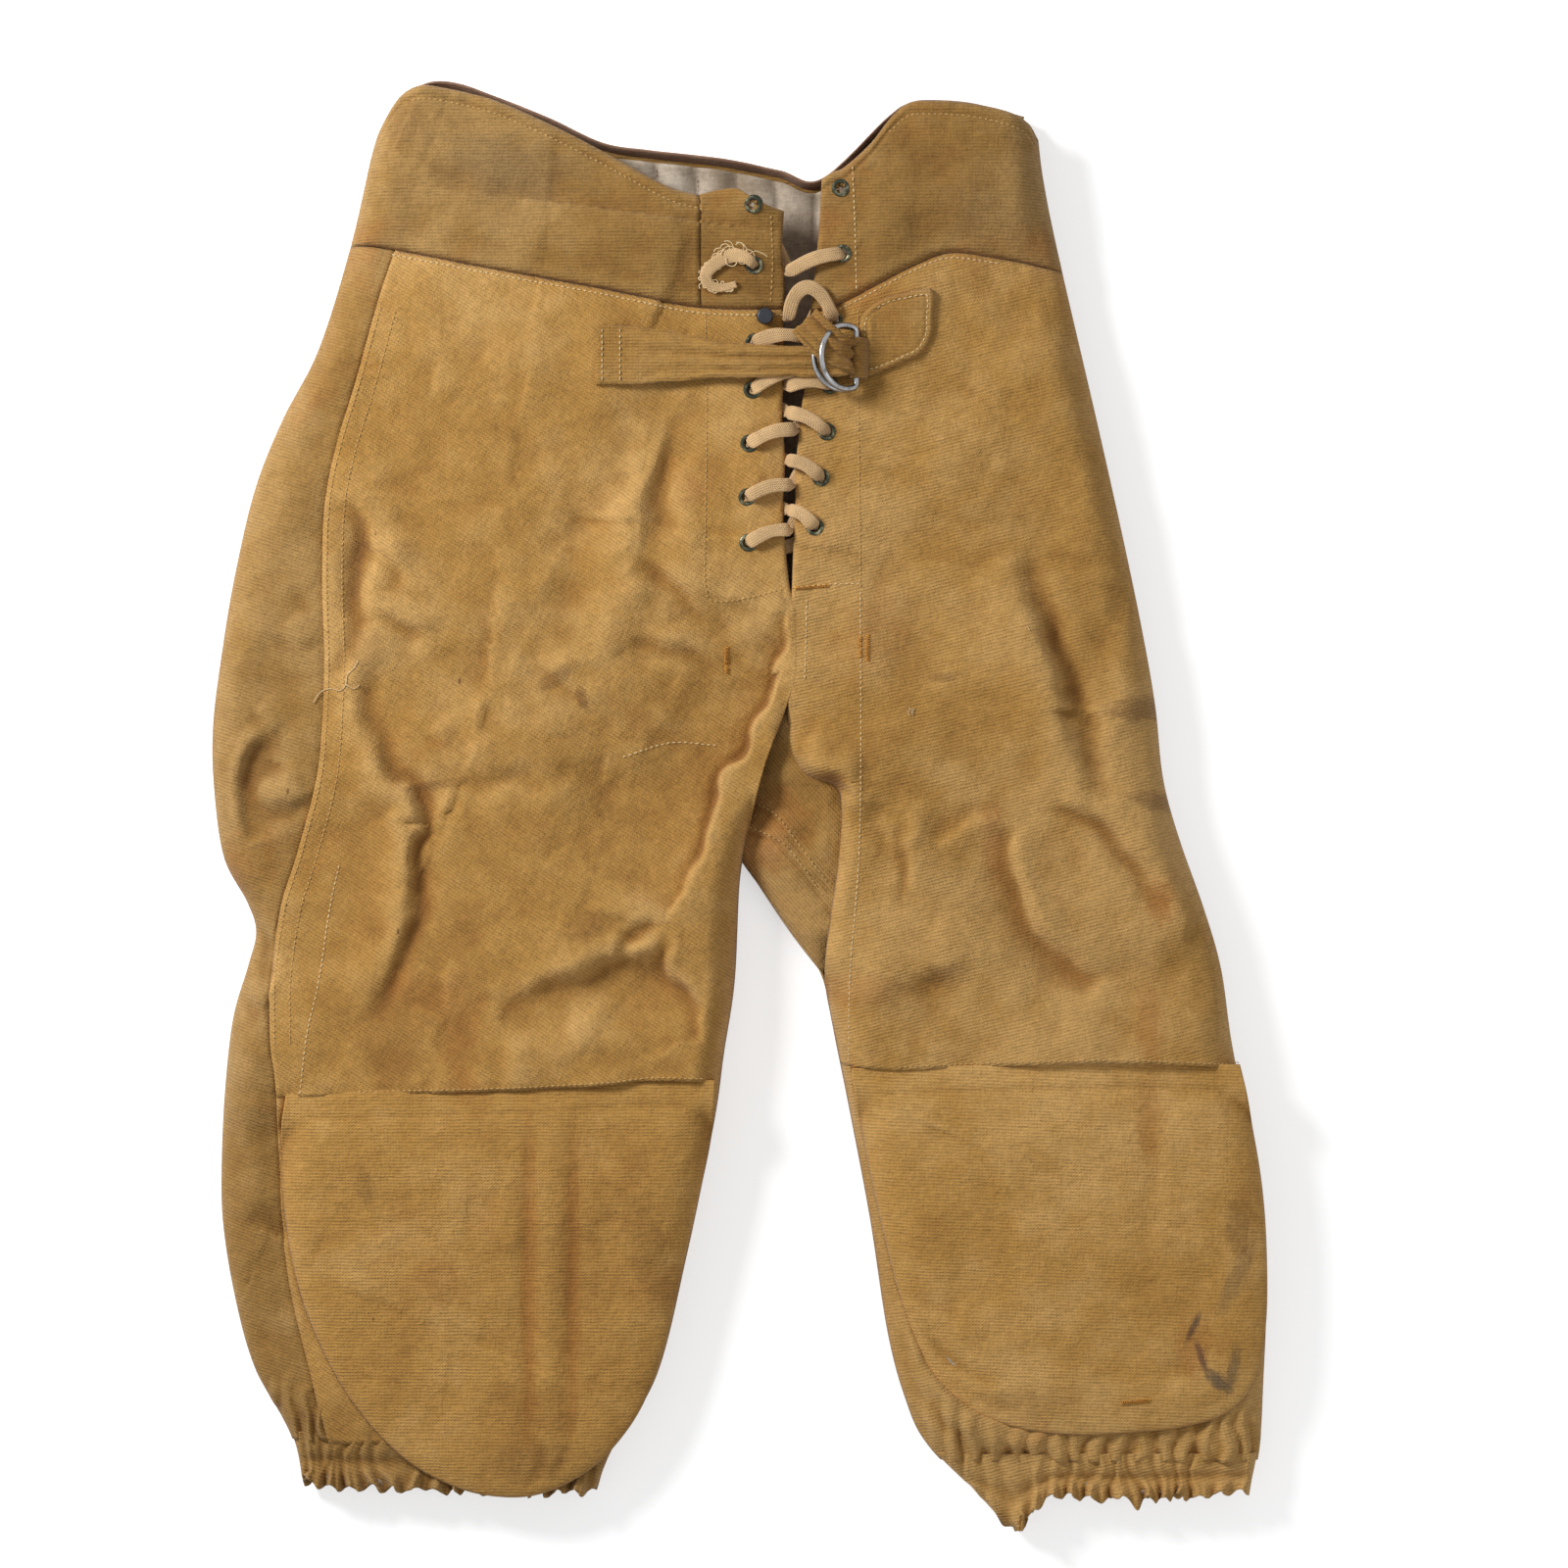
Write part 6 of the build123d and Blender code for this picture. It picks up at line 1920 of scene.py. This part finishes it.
class AddStitching(BuildStep):
    """Adds the rows of topstitching, the bar tacks, loose threads and frayed seams"""

    bl_idname = "breeches.stitching"
    bl_label = "Stitching"

    def build(self, context):
        seam_r = part_of(WAIST_SEAM_RIGHT, -175, 24)
        rows = [
            on(thigh_right, seam_r, shift=2.6),
            on(thigh_left, part_of(WAIST_SEAM_LEFT, 42, 150), shift=2.4),
            on(waist_left, [(57, 322), (58, 300), (59, 262)]),
            on(thigh_left, [(28.5, 111), (45, 112.5), (60, 113)]),
            on(thigh_left, [(61, 108), (61.2, 64), (61.2, 30), (60.2, -27), (55.8, -83), (55, -127)]),
            on(thigh_right, [(-58, 25.8), (-35, 32.8), (-12.6, 31.6)]),
            on(thigh_right, [(-202, -30), (-206.5, -51), (-211.6, -86), (-217.5, -114), (-221, -143)]),
            on(thigh_left, [(34, 104), (33.5, 80), (33, 66)]),
        ]
        rows += [np.array([(x, y, 34.9) for y in np.linspace(216, 240, 18)]) for x in (-69, -60)]
        border = STRAP_TAB * 0.84 + STRAP_TAB.mean(0) * 0.16
        rows.append(np.column_stack([smooth(border, 1.3), np.full(len(smooth(border, 1.3)), 35.35)]))
        stitched("topstitching_pale", rows, "pale_thread")
        quiet = [
            on(thigh_right, part_of(OUTSEAM, -130, 275, 1), shift=-2.2),
            on(thigh_right, part_of(OUTSEAM, -130, 275, 1), shift=-10.0),
            on(waist_right, [(x, y - 7) for x, y in WAIST_TOP_RIGHT[3:]]),
            on(waist_left, [(x, y - 7) for x, y in WAIST_TOP_LEFT[4:-1]]),
            on(tab_height, [(16, 297), (16.8, 275), (16, 256)]),
            on(thigh_right, [(TAB_SEAM_X + 3, 248), (-16.5, 200), (-17, 150), (-17, 112), (-12, 104),
                             (6, 106), (21, 110)]),
            on(thigh_left, [(60, 250), (60, 200), (60.5, 150), (61, 112)]),
            on(thigh_right, [(x + 2, y + 1.6) for x, y in KNEE_EDGE_RIGHT[2:-1]], spacing=1.0),
            on(thigh_left, [(x, y + 1.6) for x, y in KNEE_EDGE_LEFT[2:]], spacing=1.0),
        ]
        stitched("topstitching_tan", quiet, "cloth_thread")
        tacks = []
        for surface, start, end, wide in (
            (thigh_right, (-6.5, 81), (-6.5, 68), 2.0), (thigh_left, (60.6, 86), (60.8, 76), 1.7),
            (thigh_left, (64.6, 87), (64.4, 74), 1.7), (thigh_left, (28, 110.5), (45, 112), 1.6),
        ):
            start, end = np.array(start, float), np.array(end, float)
            count = int(np.linalg.norm(end - start) / 0.42)
            run = (end - start) / np.linalg.norm(end - start)
            cross = np.array([run[1], -run[0]]) * wide / 2
            zigzag = [start + (end - start) * k / count + cross * (1 if k % 2 else -1) for k in range(count + 1)]
            zigzag = np.array(zigzag)
            z = surface(zigzag[:, 0], zigzag[:, 1]) + 0.35
            tacks.append(np.column_stack([zigzag, z]))
        knee = np.array([(193 + 0.45 * k, -300.5 + 0.05 * k + (0.9 if k % 2 else -0.9)) for k in range(32)])
        rim = np.vstack([knee_outline("left"), knee_outline("left")[:1]])
        d = np.abs(beside(rim, knee[:, 0], knee[:, 1])[0])
        tacks.append(np.column_stack([knee, knee_height("left", knee[:, 0], knee[:, 1], d) + 0.35]))
        parts = [tube(line, 0.36, 5) for line in tacks]
        points, faces = joined(parts)
        bars = make("bar_tacks_thread", points, faces, finish_of("tack_thread"))
        finish_piece(bars, "tack_thread", "bar_tacks")
        threads = []
        for surface, line in (
            (thigh_right, [(-214.5, 53), (-211, 58), (-206, 60), (-201, 59), (-198, 62), (-197, 67),
                           (-194, 70), (-191.5, 74)]),
            (thigh_right, [(-198, 62), (-194, 60), (-191, 62)]),
            (thigh_left, [(146, 89), (144.5, 91.5)]),
        ):
            base = smooth(line, 0.8)
            threads.append(tube(np.column_stack([base, surface(base[:, 0], base[:, 1]) + 0.35]), 0.26, 5))
        rng = np.random.default_rng(5)
        for surface, at, spread_, count in ((thigh_left, (87, 48.5), 1.6, 9),
                                            (tab_height, (24, 252), 1.5, 6)):
            for _ in range(count):
                begin = np.array(at) + rng.standard_normal(2) * spread_ * 0.4
                line = np.cumsum(np.vstack([begin, rng.standard_normal((6, 2)) * 0.45]), 0)
                z = surface(line[:, 0], line[:, 1]) + 0.3 + rng.random(7) * 0.5
                threads.append(tube(np.column_stack([line, z]), 0.16, 5))
        points, faces = joined(threads)
        loose = make("loose_threads", points, faces, finish_of("pale_thread"))
        finish_piece(loose, "lace")


class AddInnerPieces(BuildStep):
    """Adds the hip pads with their linings, the thigh pockets, the right outseam's fell and the fly facings"""

    bl_idname = "breeches.inner"
    bl_label = "Inner pieces"

    def build(self, context):
        for side, surface in (("right", waist_right), ("left", waist_left)):
            for kind, slot, depth, thick, finish in (
                ("pad", "felt", 5.2, 3.6, "felt"), ("lining", "lining", 9.4, 0.8, "quilted_lining")
            ):
                low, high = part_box(f"hip_{kind}_{side}")
                a, b = low / MM, high / MM
                outline = smooth([(a.x, a.y + 8), (a.x + 6, (a.y + b.y) / 2), (a.x + 14, b.y - 12),
                                  (a.x + 32, b.y - 6),
                                  ((a.x + b.x) / 2, b.y - 8), (b.x - 10, b.y - 26), (b.x - 2, a.y + 30),
                                  (b.x - 6, a.y + 6),
                                  ((a.x + b.x) / 2, a.y + 2), (a.x, a.y + 8)], 3.0)[:-1]
                edge = waist_top_right if side == "right" else waist_top_left
                outline[:, 1] = np.minimum(outline[:, 1], edge(outline[:, 0]) - 10)
                if kind == "pad":
                    outline = outline * 0.96 + outline.mean(0) * 0.04
                piece = pillow(
                    f"hip_{kind}_{side}_cloth", outline, 16,
                    lambda x, y, d: np.minimum(surface(x, y),
                                               32) - depth - 2.0 * (1 - rounded(d, 5)) * (thick > 1),
                    lambda x, y, d: np.minimum(surface(x, y), 32) - depth - thick, finish_of(finish),
                )
                finish_piece(piece, slot, f"hip_{kind}_{side}")
        for side, surface, inner, outer in (
            ("right", thigh_right, lambda y: np.minimum(panel_edge_right(y) - 9, inner_right(y) - 12),
             outseam),
            ("left", thigh_left, lambda y: panel_edge_left(y) + 9, lambda y: outer_left(y) - 14),
        ):
            low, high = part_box(f"thigh_pocket_{side}")
            foot, head = max(low.y / MM, -104.0), high.y / MM
            one, other = (outer, inner) if side == "right" else (inner, outer)
            x, y = patch(
                (lambda q: one(q) + 6) if side == "right" else one, other,
                lambda q: np.full(np.shape(q), foot),
                lambda q: np.full(np.shape(q), head), step=3.2,
            )
            pocket = grid_piece(
                f"thigh_pocket_{side}_cloth", [(x, y, surface(x, y) - 3.2, False)], finish_of("trim_canvas"),
                1.2
            )
            finish_piece(pocket, "canvas", f"thigh_pocket_{side}")
            declare_sheet(pocket, 215, 160)
        low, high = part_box("outseam_fell_right")
        x, y = patch(lambda q: outseam(q) + 0.5, lambda q: outseam(q) + 10.5,
                     lambda q: np.full(np.shape(q), low.y / MM),
                     lambda q: np.full(np.shape(q), high.y / MM - 4), step=2.4)
        fell = grid_piece("outseam_fell_right_cloth", [(x, y, thigh_right(x, y) - 2.0, False)],
                          finish_of("trim_canvas"), 0.9)
        finish_piece(fell, "canvas", "outseam_fell_right")
        declare_sheet(fell, 14, 275)
        level = lambda value: (lambda q: np.full(np.shape(q), value))
        for side, left, right, top, surface in (
            ("right", level(-17.0), lambda q: panel_edge_right(q) - 0.9, lambda q: tab_top(q) - 3,
             lambda x, y: np.where(y < 252, thigh_right(x, y), tab_height(x, y))),
            ("left", lambda q: panel_edge_left(q) + 0.9, level(60.0), lambda q: waist_top_left(q) - 6,
             lambda x, y: np.where(y < 256, thigh_left(x, y), waist_left(x, y) - 1.6)),
        ):
            x, y = patch(left, right, level(107.0), top, step=2.2)
            facing = grid_piece(f"fly_facing_{side}_cloth", [(x, y, surface(x, y) - 2.4, False)],
                                finish_of("trim_canvas"), 1.1)
            finish_piece(facing, "canvas", f"fly_facing_{side}")
            declare_sheet(facing, 44, 230)


class BREECHES_PT_build(bpy.types.Panel):
    """Lists the pieces of the breeches"""

    bl_label = "Breeches"
    bl_idname = "BREECHES_PT_build"
    bl_space_type = "VIEW_3D"
    bl_region_type = "UI"
    bl_category = "Breeches"

    def draw(self, context):
        for group in ("cloth", "stitching", "lace", "stage"):
            box = self.layout.box()
            values = settings(group)
            for name in values.__annotations__:
                box.prop(values, name)
        for step in STEPS_IN_ORDER:
            self.layout.operator(step.bl_idname)


GROUPS = {"cloth": BreechesCloth, "stitching": BreechesStitching, "lace": BreechesLace,
          "stage": BreechesStage}
STEPS_IN_ORDER = [AddStage, AddLaceTail, AddFrontLegs, AddBackLegs, AddWaist, AddSeatLining, AddKneePockets,
                  AddCuffs,
                  AddBuckle, AddEyelets, AddLace, AddStitching, AddInnerPieces]


def register():
    for name, group in GROUPS.items():
        bpy.utils.register_class(group)
        setattr(bpy.types.Scene, f"breeches_{name}", PointerProperty(type=group))
    for item in STEPS_IN_ORDER + [BREECHES_PT_build]:
        bpy.utils.register_class(item)


def unregister():
    for item in reversed(STEPS_IN_ORDER + [BREECHES_PT_build]):
        bpy.utils.unregister_class(item)
    for name, group in GROUPS.items():
        delattr(bpy.types.Scene, f"breeches_{name}")
        bpy.utils.unregister_class(group)


def main():
    register()
    for step in STEPS_IN_ORDER:
        getattr(bpy.ops.breeches, step.bl_idname.split(".")[1])()


if __name__ == "__main__":
    main()
